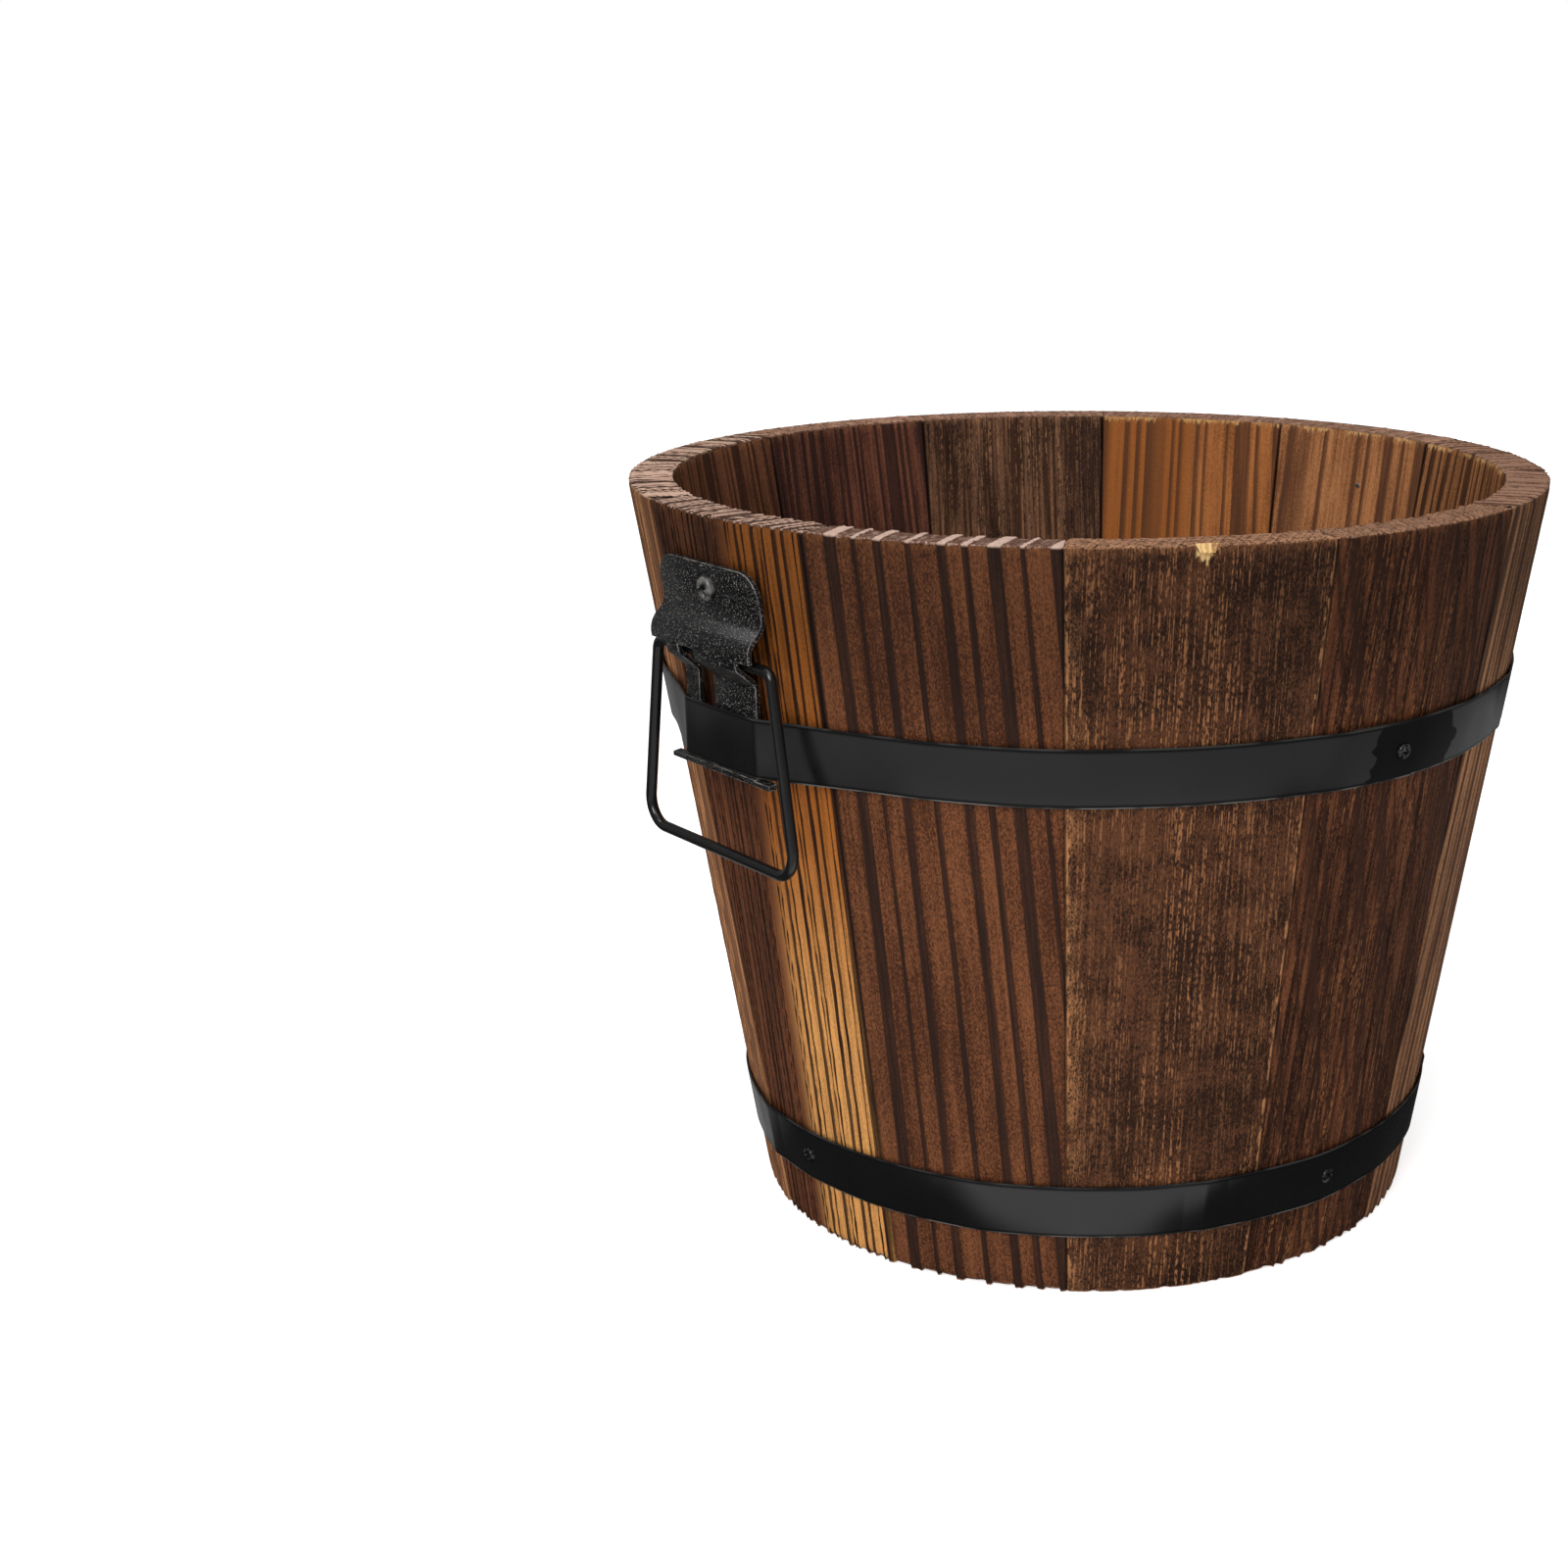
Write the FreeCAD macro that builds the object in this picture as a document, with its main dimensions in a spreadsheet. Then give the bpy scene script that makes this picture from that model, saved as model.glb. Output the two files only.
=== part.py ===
import FreeCAD, Part
import math
import os
import Sketcher

# A coopered flower pot: twelve tapered staves held by two steel hoops, a boarded bottom let into a
# groove, and a wire bail on a stamped bracket at each side. The origin is the middle of the ring that
# the pot stands on, +Z is up and the handles are on the X axis.

# Driving dimensions: millimetres, degrees for the turn and angle values, shares and counts plain
SIZES = {
    "top_diameter": 260.0,
    "bottom_diameter": 194.0,
    "pot_height": 211.0,
    "wall_width": 12.5,
    "rim_round": 0.6,
    "stave_count": 12,
    "seam_turn": 1.3,
    "floor_rise": 14.0,
    "board_thickness": 9.0,
    "croze_depth": 4.0,
    "croze_clearance": 0.1,
    "drain_diameter": 12.0,
    "hoop_width": 16.0,
    "hoop_thickness": 0.7,
    "hoop_clearance": 0.1,
    "lower_hoop_rise": 26.4,
    "lap_length": 22.0,
    "lap_past_screw": 4.6,
    "bracket_screw_drop": 19.0,
    "bracket_sheet": 1.3,
    "bracket_seat": 0.1,
    "bracket_width": 46.0,
    "plate_rise": 6.6,
    "plate_corner": 7.0,
    "hood_drop": 7.0,
    "hood_reach": 7.3,
    "hood_angle": 57.0,
    "hood_bend": 4.5,
    "hood_round": 4.9,
    "lip_drop": 15.2,
    "lip_round": 1.0,
    "underside_angle": 49.0,
    "root_bend": 1.5,
    "neck_width": 33.0,
    "neck_show": 8.1,
    "neck_clearance": 0.45,
    "window_width": 7.4,
    "window_height": 18.0,
    "window_offset": 2.9,
    "foot_reach": 1.2,
    "foot_height": 1.7,
    "foot_clearance": 0.2,
    "bail_drop": 17.5,
    "bail_reach": 3.4,
    "bail_clearance": 0.4,
    "wire_diameter": 3.0,
    "bail_top_width": 53.0,
    "bail_bottom_width": 71.0,
    "bail_length": 52.6,
    "bail_top_bend": 3.2,
    "bail_bottom_bend": 7.0,
    "hoop_screw_head": 4.4,
    "hoop_screw_head_height": 1.5,
    "hoop_screw_shank": 2.4,
    "hoop_screw_length": 10.0,
    "hoop_screw_drive_span": 2.6,
    "hoop_screw_drive_slot": 0.7,
    "hoop_screw_drive_depth": 0.8,
    "bracket_screw_head": 6.7,
    "bracket_screw_head_height": 2.3,
    "bracket_screw_shank": 3.4,
    "bracket_screw_length": 15.2,
    "bracket_screw_drive_span": 4.2,
    "bracket_screw_drive_slot": 1.1,
    "bracket_screw_drive_depth": 1.3,
    "head_round_share": 0.7,
    "point_share": 1.2,
    "pilot_clearance": 0.05,
    "hole_clearance": 0.2,
    "cut_overrun": 1.0,
}

# Turns about the pot's axis, in degrees from +X
RIGHT_TURN = 0.0
BACK_TURN = 90.0
LEFT_TURN = 180.0
FRONT_TURN = 270.0
HALF_TURN = 180.0
FULL_TURN = 360.0
ALL_TURNS = (RIGHT_TURN, BACK_TURN, LEFT_TURN, FRONT_TURN)
HANDLE_TURNS = (RIGHT_TURN, LEFT_TURN)
LAP_TURNS = (BACK_TURN, FRONT_TURN)

# Boards of the bottom, by their places from the middle one
BOARD_PLACES = {"left": -1, "middle": 0, "right": 1}

doc = FreeCAD.newDocument("barrel_planter")
sheet = doc.addObject("Spreadsheet::Sheet", "sizes")
for row, (alias, value) in enumerate(SIZES.items(), start=1):
    sheet.set(f"A{row}", alias)
    sheet.set(f"B{row}", str(value))
    sheet.setAlias(f"B{row}", alias)
doc.recompute()

# Sizes that follow from the driving ones, as expressions on the sheet
SLOPE = "((sizes.top_diameter - sizes.bottom_diameter) / 2 / sizes.pot_height)"
TAPER = f"atan({SLOPE})"
FLOOR_TOP = "(sizes.floor_rise + sizes.board_thickness)"
SCREW_HEIGHT = "(sizes.pot_height - sizes.bracket_screw_drop)"


def wall_radius(height):
    return f"(sizes.bottom_diameter / 2 + {SLOPE} * {height})"


def inner_radius(height):
    return f"({wall_radius(height)} - sizes.wall_width)"


CROZE_RADIUS = f"({inner_radius(FLOOR_TOP)} + sizes.croze_depth)"
BOARD_RADIUS = f"({CROZE_RADIUS} - sizes.croze_clearance)"
BOARD_WIDTH = f"(2 * {BOARD_RADIUS} / {len(BOARD_PLACES)})"

# The bail's bar, which is the hinge pin: its place from the pot's axis and from the floor
BAR_OUT = (
    f"({wall_radius(SCREW_HEIGHT)} + sizes.bail_reach * cos({TAPER}) - sizes.bail_drop * sin({TAPER}))"
)
BAR_HEIGHT = f"({SCREW_HEIGHT} - sizes.bail_reach * sin({TAPER}) - sizes.bail_drop * cos({TAPER}))"

# The bracket's sheet: its neck hangs plumb behind the bar and goes down under the upper hoop
PLATE_FRONT = "(sizes.bracket_seat + sizes.bracket_sheet)"
BAR_SPACE = "(sizes.wire_diameter / 2 + sizes.bail_clearance)"
NECK_FRONT = "(sizes.wire_diameter / 2 + sizes.neck_clearance)"
NECK_BACK = f"({NECK_FRONT} + sizes.bracket_sheet)"
ROOT_BACK = f"(({BAR_SPACE} + {NECK_BACK} * cos(sizes.underside_angle)) / sin(sizes.underside_angle))"
ROOT_FRONT = (
    f"(({BAR_SPACE} + sizes.bracket_sheet + {NECK_FRONT} * cos(sizes.underside_angle))"
    " / sin(sizes.underside_angle))"
)
HOOP_HALF = f"(sizes.hoop_width / 2 * cos({TAPER}))"
HOOP_DROP = f"({ROOT_FRONT} + sizes.neck_show + {HOOP_HALF})"
UPPER_HOOP_RISE = f"({BAR_HEIGHT} - {HOOP_DROP})"
FOOT_TOP = f"({HOOP_DROP} + {HOOP_HALF} + sizes.foot_clearance)"
HOOP_FRONT = "(sizes.hoop_clearance + sizes.hoop_thickness)"
LAP_FRONT = f"(2 * {HOOP_FRONT})"


def measure(expression):
    """The plain number that an expression on the sheet gives, in millimetres or degrees."""
    value = sheet.evalExpression(expression)
    return float(getattr(value, "Value", value))


def new_body(name):
    body = doc.addObject("PartDesign::Body", name)
    body.Label = name
    return body


def new_sketch(body, role, name):
    plane = [feature for feature in body.Origin.OriginFeatures if feature.Role == role][0]
    sketch = body.newObject("Sketcher::SketchObject", name)
    sketch.AttachmentSupport = [(plane, "")]
    sketch.MapMode = "FlatFace"
    return sketch


def origin_axis(body, role):
    return [feature for feature in body.Origin.OriginFeatures if feature.Role == role][0]


def pin_point(sketch, edge, end, across, up):
    """Hold one end of an edge at a place given by two expressions."""
    for kind, expression in (("DistanceX", across), ("DistanceY", up)):
        index = sketch.addConstraint(
            Sketcher.Constraint(kind, -1, 1, edge, end, measure(expression))
        )
        sketch.setExpression(f"Constraints[{index}]", expression)


def round_corner(centre, radius, stop, start):
    """The arc between two sides, drawn anticlockwise, and which of its ends each side meets."""
    spoke_in = stop - centre
    spoke_out = start - centre
    turn_in = math.atan2(spoke_in.y, spoke_in.x)
    turn_out = math.atan2(spoke_out.y, spoke_out.x)
    circle = Part.Circle(centre, FreeCAD.Vector(0, 0, 1), radius)
    if spoke_in.cross(spoke_out).z > 0:
        return Part.ArcOfCircle(circle, turn_in, turn_out), 1, 2
    return Part.ArcOfCircle(circle, turn_out, turn_in), 2, 1


def draw_outline(sketch, corners):
    """Draw a closed outline. A corner is (across, up) or (across, up, radius), all expressions."""
    count = len(corners)
    points = [FreeCAD.Vector(measure(corner[0]), measure(corner[1])) for corner in corners]
    guides = []
    for index in range(count):
        following = (index + 1) % count
        guide = sketch.addGeometry(Part.LineSegment(points[index], points[following]), True)
        guides.append(guide)
    for index in range(count):
        following = (index + 1) % count
        sketch.addConstraint(Sketcher.Constraint("Coincident", guides[index], 2, guides[following], 1))
        pin_point(sketch, guides[index], 1, corners[index][0], corners[index][1])
    starts = list(points)
    stops = list(points)
    arcs = {}
    for index, corner in enumerate(corners):
        if len(corner) == 3:
            before = (points[index - 1] - points[index]).normalize()
            after = (points[(index + 1) % count] - points[index]).normalize()
            half = before.getAngle(after) / 2
            radius = measure(corner[2])
            reach = radius / math.tan(half)
            stops[index] = points[index] + before * reach
            starts[index] = points[index] + after * reach
            centre = points[index] + (before + after).normalize() * (radius / math.sin(half))
            arcs[index] = round_corner(centre, radius, stops[index], starts[index])
    sides = []
    for index in range(count):
        following = (index + 1) % count
        side = sketch.addGeometry(Part.LineSegment(starts[index], stops[following]), False)
        sides.append(side)
        for end, corner in ((1, index), (2, following)):
            if corner in arcs:
                sketch.addConstraint(Sketcher.Constraint("PointOnObject", side, end, guides[index]))
            else:
                sketch.addConstraint(Sketcher.Constraint("Coincident", side, end, guides[corner], 1))
    for index, (arc, first, last) in arcs.items():
        edge = sketch.addGeometry(arc, False)
        sketch.addConstraint(Sketcher.Constraint("Tangent", sides[index - 1], 2, edge, first))
        sketch.addConstraint(Sketcher.Constraint("Tangent", edge, last, sides[index], 1))
        limit = sketch.addConstraint(Sketcher.Constraint("Radius", edge, measure(corners[index][2])))
        sketch.setExpression(f"Constraints[{limit}]", corners[index][2])


def draw_circle(sketch, across, up, radius):
    """Draw a circle with its centre and radius given by expressions."""
    centre = FreeCAD.Vector(measure(across), measure(up))
    edge = sketch.addGeometry(Part.Circle(centre, FreeCAD.Vector(0, 0, 1), measure(radius)), False)
    pin_point(sketch, edge, 3, across, up)
    limit = sketch.addConstraint(Sketcher.Constraint("Radius", edge, measure(radius)))
    sketch.setExpression(f"Constraints[{limit}]", radius)


def cut_through(body, sketch, name):
    """Cut an outline right through the body, both ways from its plane."""
    pocket = body.newObject("PartDesign::Pocket", name)
    pocket.Profile = sketch
    pocket.Type = "ThroughAll"
    pocket.SideType = "Symmetric"
    return pocket


def stand_on_wall(item, turn, height):
    """Put an item's own origin on the outer wall, with its X axis square to the wall."""
    level = measure(height)
    spin = FreeCAD.Rotation(FreeCAD.Vector(0, 0, 1), turn)
    lean = FreeCAD.Rotation(FreeCAD.Vector(0, 1, 0), measure(TAPER))
    foot = spin.multVec(FreeCAD.Vector(measure(wall_radius(height)), 0, level))
    item.Placement = FreeCAD.Placement(foot, spin.multiply(lean))


# Staves


def drill_wall(body, name, height, shank, depth):
    """Drill a pilot hole square to the outer wall, in the plane through the body's X axis."""
    sketch = new_sketch(body, "YZ_Plane", f"{name}_circle")
    lean = FreeCAD.Rotation(FreeCAD.Vector(1, 0, 0), measure(TAPER))
    sketch.AttachmentOffset = FreeCAD.Placement(FreeCAD.Vector(), lean)
    sketch.setExpression("AttachmentOffset.Rotation.Angle", TAPER)
    sketch.setExpression("AttachmentOffset.Base.y", f"{height} - sizes.cut_overrun * sin({TAPER})")
    outside = f"{wall_radius(height)} + sizes.cut_overrun * cos({TAPER})"
    sketch.setExpression("AttachmentOffset.Base.z", outside)
    draw_circle(sketch, "0", "0", f"{shank} / 2 + sizes.pilot_clearance")
    hole = body.newObject("PartDesign::Pocket", name)
    hole.Profile = sketch
    hole.Type = "Length"
    hole.setExpression("Length", f"{depth} + sizes.cut_overrun")


HOOP_PILOT = "sizes.hoop_screw_length"
BRACKET_PILOT = "(sizes.bracket_screw_length + sizes.cut_overrun)"


LOWER_HOLE = ("lower_hoop_hole", "sizes.lower_hoop_rise", "sizes.hoop_screw_shank", HOOP_PILOT)
UPPER_HOLE = ("upper_hoop_hole", UPPER_HOOP_RISE, "sizes.hoop_screw_shank", HOOP_PILOT)
BRACKET_HOLE = ("bracket_hole", SCREW_HEIGHT, "sizes.bracket_screw_shank", BRACKET_PILOT)
HALF_STAVE = "180 / round(sizes.stave_count)"


def turn_between(first, second):
    """The turn from one direction to another, from minus a half turn to a half turn."""
    return (second - first + HALF_TURN) % FULL_TURN - HALF_TURN


def make_stave(number, turn):
    """One stave: the pot's section turned through its share of the circle, with its pilot holes.

    A stave that takes screws has its own X axis under them, and any other has it at its turn.
    """
    body = new_body(f"stave_{number:02d}")
    sketch = new_sketch(body, "XZ_Plane", f"{body.Name}_section")
    groove_top = f"({FLOOR_TOP} + sizes.croze_clearance)"
    groove_foot = "(sizes.floor_rise - sizes.croze_clearance)"
    draw_outline(sketch, [
        (wall_radius("0"), "0"),
        (wall_radius("sizes.pot_height"), "sizes.pot_height", "sizes.rim_round"),
        (inner_radius("sizes.pot_height"), "sizes.pot_height", "sizes.rim_round"),
        (inner_radius(groove_top), groove_top),
        (CROZE_RADIUS, groove_top),
        (CROZE_RADIUS, groove_foot),
        (inner_radius(groove_foot), groove_foot),
        (inner_radius("0"), "0"),
    ])
    middle = turn + measure("sizes.seam_turn")
    screwed = [place for place in ALL_TURNS if abs(turn_between(place, middle)) < measure(HALF_STAVE)]
    own_turn = screwed[0] if screwed else turn
    shift = f"sizes.seam_turn + {turn_between(own_turn, turn)}"
    turned = body.newObject("PartDesign::Revolution", f"{body.Name}_turned")
    turned.Profile = sketch
    turned.ReferenceAxis = (origin_axis(body, "Z_Axis"), [""])
    turned.Type = "TwoAngles"
    turned.setExpression("Angle", f"{HALF_STAVE} + ({shift})")
    turned.setExpression("Angle2", f"{HALF_STAVE} - ({shift})")
    for place in screwed:
        for name, height, shank, depth in (LOWER_HOLE, BRACKET_HOLE if place in HANDLE_TURNS else UPPER_HOLE):
            drill_wall(body, f"{body.Name}_{name}", height, shank, depth)
    body.Placement.Rotation = FreeCAD.Rotation(FreeCAD.Vector(0, 0, 1), own_turn)
    return body


def make_staves():
    count = round(measure("sizes.stave_count"))
    return [make_stave(number + 1, number * FULL_TURN / count) for number in range(count)]


# Bottom boards


def make_disc(name):
    disc = doc.addObject("Part::Cylinder", f"{name}_disc")
    disc.setExpression("Radius", BOARD_RADIUS)
    disc.setExpression("Height", "sizes.board_thickness")
    disc.setExpression("Placement.Base.z", "sizes.floor_rise")
    return disc


def make_board(name, place):
    """A board of the round bottom, so many boards' widths from the middle one."""
    plank = doc.addObject("Part::Box", f"{name}_plank")
    plank.setExpression("Length", BOARD_WIDTH)
    plank.setExpression("Width", f"2 * {BOARD_RADIUS}")
    plank.setExpression("Height", "sizes.board_thickness")
    plank.setExpression("Placement.Base.x", f"{BOARD_WIDTH} * ({place} - 0.5)")
    plank.setExpression("Placement.Base.y", f"-{BOARD_RADIUS}")
    plank.setExpression("Placement.Base.z", "sizes.floor_rise")
    board = doc.addObject("Part::Common", name)
    board.Base = make_disc(name)
    board.Tool = plank
    board.Label = name
    return board


def make_drained_board(name):
    """The middle board, with the drain hole bored through it."""
    plain = make_board(f"{name}_plain", BOARD_PLACES["middle"])
    bit = doc.addObject("Part::Cylinder", f"{name}_bit")
    bit.setExpression("Radius", "sizes.drain_diameter / 2")
    bit.setExpression("Height", "sizes.board_thickness + 2 * sizes.cut_overrun")
    bit.setExpression("Placement.Base.z", "sizes.floor_rise - sizes.cut_overrun")
    board = doc.addObject("Part::Cut", name)
    board.Base = plain
    board.Tool = bit
    board.Label = name
    return board


# Hoops


def at_turn(radius, turn):
    return FreeCAD.Vector(radius * math.cos(turn), radius * math.sin(turn), 0)


def arc_between(radius, start, stop):
    middle = at_turn(radius, (start + stop) / 2)
    return Part.Arc(at_turn(radius, start), middle, at_turn(radius, stop)).toShape()


def strap_face(radius, spread, bumps, ends):
    """Edges of one face of the strap, from its under end round to its over end.

    radius is the inner face's on the wood, spread how far this face lies outside it, bumps the turn
    of each bracket with the corner of its neck, and ends the turns of the strap's two ends.
    """
    under_end, over_end = ends
    layer = measure(HOOP_FRONT) / math.cos(math.radians(measure(TAPER)))
    edges = []
    turn = under_end
    for bump, corner_out, corner_side in bumps:
        leave = math.atan2(corner_side, corner_out) + math.acos(radius / math.hypot(corner_out, corner_side))
        flat = corner_out + spread
        side = (radius + spread - flat * math.cos(leave)) / math.sin(leave)
        edges.append(arc_between(radius + spread, turn, bump - leave))
        rotation = FreeCAD.Rotation(FreeCAD.Vector(0, 0, 1), math.degrees(bump))
        near = rotation.multVec(FreeCAD.Vector(flat, -side, 0))
        far = rotation.multVec(FreeCAD.Vector(flat, side, 0))
        edges.append(Part.LineSegment(at_turn(radius + spread, bump - leave), near).toShape())
        edges.append(Part.LineSegment(near, far).toShape())
        edges.append(Part.LineSegment(far, at_turn(radius + spread, bump + leave)).toShape())
        turn = bump + leave
    climb = under_end + math.tau - math.acos(radius / (radius + layer))
    top = climb + math.acos((radius + spread) / (radius + spread + layer))
    edges.append(arc_between(radius + spread, turn, climb))
    foot_point = at_turn(radius + spread, climb)
    edges.append(Part.LineSegment(foot_point, at_turn(radius + spread + layer, top)).toShape())
    edges.append(arc_between(radius + spread + layer, top, over_end))
    return edges


def strap_outline(height, lap, mid_radius, bracket_turns):
    """The closed edge of the strap at one height, lapped over itself at the lap's turn."""
    square = math.cos(math.radians(measure(TAPER)))
    wood = measure("sizes.bottom_diameter / 2") + measure(SLOPE) * height
    radius = wood + measure("sizes.hoop_clearance") / square
    spread = measure("sizes.hoop_thickness") / square
    over_end = lap + measure("sizes.lap_past_screw") / mid_radius
    under_end = over_end - measure("sizes.lap_length") / mid_radius
    corner_out = measure(f"{BAR_OUT} - {NECK_FRONT} + sizes.hoop_clearance")
    corner_side = measure("sizes.neck_width / 2 + sizes.hoop_clearance")
    bumps = [(turn, corner_out, corner_side) for turn in bracket_turns]
    ends = (under_end, over_end + math.tau)
    inside = strap_face(radius, 0, bumps, ends)
    outside = strap_face(radius, spread, bumps, ends)
    over_cut = Part.LineSegment(inside[-1].lastVertex(True).Point, outside[-1].lastVertex(True).Point)
    under_cut = Part.LineSegment(inside[0].firstVertex(True).Point, outside[0].firstVertex(True).Point)
    edges = inside + [over_cut.toShape()] + outside[::-1] + [under_cut.toShape()]
    outline = Part.Wire(Part.__sortEdges__(edges))
    outline.translate(FreeCAD.Vector(0, 0, height))
    return outline


def make_hoop(name, rise, lap_turn, screw_turns, bracket_turns):
    """A strap on the cone, lofted between its lower and upper edges, with holes for its screws."""
    half = measure(HOOP_HALF)
    level = measure(rise)
    mid_radius = measure(wall_radius(rise))
    lap = math.radians(lap_turn - FULL_TURN)
    turns = [math.radians(turn) for turn in bracket_turns]
    lower = strap_outline(level - half, lap, mid_radius, turns)
    upper = strap_outline(level + half, lap, mid_radius, turns)
    strap = Part.makeLoft([lower, upper], True, True)
    overrun = measure("sizes.cut_overrun")
    radius = measure("sizes.hoop_screw_shank / 2 + sizes.hole_clearance")
    length = measure(LAP_FRONT) + 2 * overrun
    hoop = doc.addObject("Part::Feature", name)
    hoop.Label = name
    for turn in screw_turns:
        along = FreeCAD.Vector(1, 0, 0)
        punch = Part.makeCylinder(radius, length, FreeCAD.Vector(-overrun, 0, 0), along)
        stand_on_wall(punch, turn, rise)
        strap = strap.cut(punch)
    hoop.Shape = strap
    return hoop


# Handle brackets


def plumb(out, down):
    """Across and up in a bracket's frame of a point so far out from and below the bail's bar."""
    across = f"(sizes.bail_reach + ({out}) * cos({TAPER}) + ({down}) * sin({TAPER}))"
    up = f"(-sizes.bail_drop + ({out}) * sin({TAPER}) - ({down}) * cos({TAPER}))"
    return across, up


def lip_corner(across, space):
    """Where a face of the hood meets that face of the underside which is so far below the bar."""
    lean = f"(sizes.underside_angle * 1 deg - {TAPER})"
    reach = f"({across} - sizes.bail_reach)"
    return across, f"(-sizes.bail_drop + ({reach} * cos({lean}) - {space}) / sin({lean}))"


def make_bracket(name, turn):
    """A stamped bracket: plate, hood over the bail's bar, windowed neck and a foot below the hoop."""
    body = new_body(name)
    profile = new_sketch(body, "XZ_Plane", f"{name}_profile")
    sheet_step = "sizes.bracket_sheet * tan(sizes.hood_angle / 2)"
    ramp = f"(sizes.hood_reach - {PLATE_FRONT}) / tan(sizes.hood_angle)"
    hood_inside = "(sizes.hood_reach - sizes.bracket_sheet)"
    foot_low = f"({FOOT_TOP} + sizes.foot_height)"
    foot_end = f"(sizes.foot_reach - {NECK_FRONT})"
    draw_outline(profile, [
        ("sizes.bracket_seat", "sizes.plate_rise"),
        ("sizes.bracket_seat", f"-sizes.hood_drop - {sheet_step}", "sizes.hood_bend + sizes.bracket_sheet"),
        (hood_inside, f"-sizes.hood_drop - {sheet_step} - {ramp}", "sizes.hood_round"),
        (*lip_corner(hood_inside, BAR_SPACE), "sizes.lip_round"),
        (*plumb(f"-{NECK_BACK}", ROOT_BACK), "sizes.root_bend + sizes.bracket_sheet"),
        plumb(f"-{NECK_BACK}", foot_low),
        plumb(foot_end, foot_low),
        plumb(foot_end, FOOT_TOP),
        plumb(f"-{NECK_FRONT}", FOOT_TOP),
        (*plumb(f"-{NECK_FRONT}", ROOT_FRONT), "sizes.root_bend"),
        (
            *lip_corner("sizes.hood_reach", f"({BAR_SPACE} + sizes.bracket_sheet)"),
            "sizes.lip_round + sizes.bracket_sheet",
        ),
        ("sizes.hood_reach", f"-sizes.hood_drop - {ramp}", "sizes.hood_round + sizes.bracket_sheet"),
        (PLATE_FRONT, "-sizes.hood_drop", "sizes.hood_bend"),
        (PLATE_FRONT, "sizes.plate_rise"),
    ])
    blank = body.newObject("PartDesign::Pad", f"{name}_bent")
    blank.Profile = profile
    blank.SideType = "Symmetric"
    blank.setExpression("Length", "sizes.bracket_width")
    window_far = "-sizes.window_offset - sizes.window_width"
    window_foot = "-sizes.lip_drop - sizes.window_height"
    window = new_sketch(body, "YZ_Plane", f"{name}_window_outline")
    draw_outline(window, [
        (window_far, window_foot),
        ("-sizes.window_offset", window_foot),
        ("-sizes.window_offset", "-sizes.lip_drop"),
        (window_far, "-sizes.lip_drop"),
    ])
    cut_through(body, window, f"{name}_window")
    foot_edge = plumb(f"-{NECK_BACK}", FOOT_TOP)[1]
    outer = "(sizes.bracket_width / 2 + sizes.cut_overrun)"
    for side, sign in (("near", "-"), ("far", "")):
        notch = new_sketch(body, "YZ_Plane", f"{name}_{side}_notch_outline")
        draw_outline(notch, [
            (f"{sign}sizes.neck_width / 2", foot_edge),
            (f"{sign}{outer}", foot_edge),
            (f"{sign}{outer}", "-sizes.lip_drop"),
            (f"{sign}sizes.neck_width / 2", "-sizes.lip_drop"),
        ])
        cut_through(body, notch, f"{name}_{side}_notch")
    screw_hole = new_sketch(body, "YZ_Plane", f"{name}_screw_circle")
    draw_circle(screw_hole, "0", "0", "sizes.bracket_screw_shank / 2 + sizes.hole_clearance")
    pierced = cut_through(body, screw_hole, f"{name}_screw_hole")
    doc.recompute()
    corners = body.newObject("PartDesign::Fillet", f"{name}_corners")
    corners.Base = (pierced, plate_corner_edges(pierced.Shape))
    corners.setExpression("Radius", "sizes.plate_corner")
    stand_on_wall(body, turn, SCREW_HEIGHT)
    return body


def plate_corner_edges(shape):
    """Names of the two short edges at the plate's top corners."""
    names = []
    for index, edge in enumerate(shape.Edges, start=1):
        ends = [vertex.Point for vertex in edge.Vertexes]
        at_top = all(abs(end.z - shape.BoundBox.ZMax) < Part.Precision.confusion() for end in ends)
        through_sheet = len(ends) == 2 and abs(ends[0].y - ends[1].y) < Part.Precision.confusion()
        if at_top and through_sheet:
            names.append(f"Edge{index}")
    return names


# Bails


def make_bail(name, turn):
    """A closed loop of wire: its top bar is the hinge pin, at the body's own origin."""
    body = new_body(name)
    path = new_sketch(body, "YZ_Plane", f"{name}_path")
    draw_outline(path, [
        ("-sizes.bail_top_width / 2", "0", "sizes.bail_top_bend"),
        ("sizes.bail_top_width / 2", "0", "sizes.bail_top_bend"),
        ("sizes.bail_bottom_width / 2", "-sizes.bail_length", "sizes.bail_bottom_bend"),
        ("-sizes.bail_bottom_width / 2", "-sizes.bail_length", "sizes.bail_bottom_bend"),
    ])
    section = new_sketch(body, "XZ_Plane", f"{name}_section")
    draw_circle(section, "0", "0", "sizes.wire_diameter / 2")
    wire = body.newObject("PartDesign::AdditivePipe", f"{name}_wire")
    wire.Profile = section
    doc.recompute()
    wire.Spine = (path, [f"Edge{number}" for number in range(1, len(path.Shape.Edges) + 1)])
    pin = FreeCAD.Vector(measure(BAR_OUT), 0, measure(BAR_HEIGHT))
    spin = FreeCAD.Rotation(FreeCAD.Vector(0, 0, 1), turn)
    body.Placement = FreeCAD.Placement(spin.multVec(pin), spin)
    return body


# Screws


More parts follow.
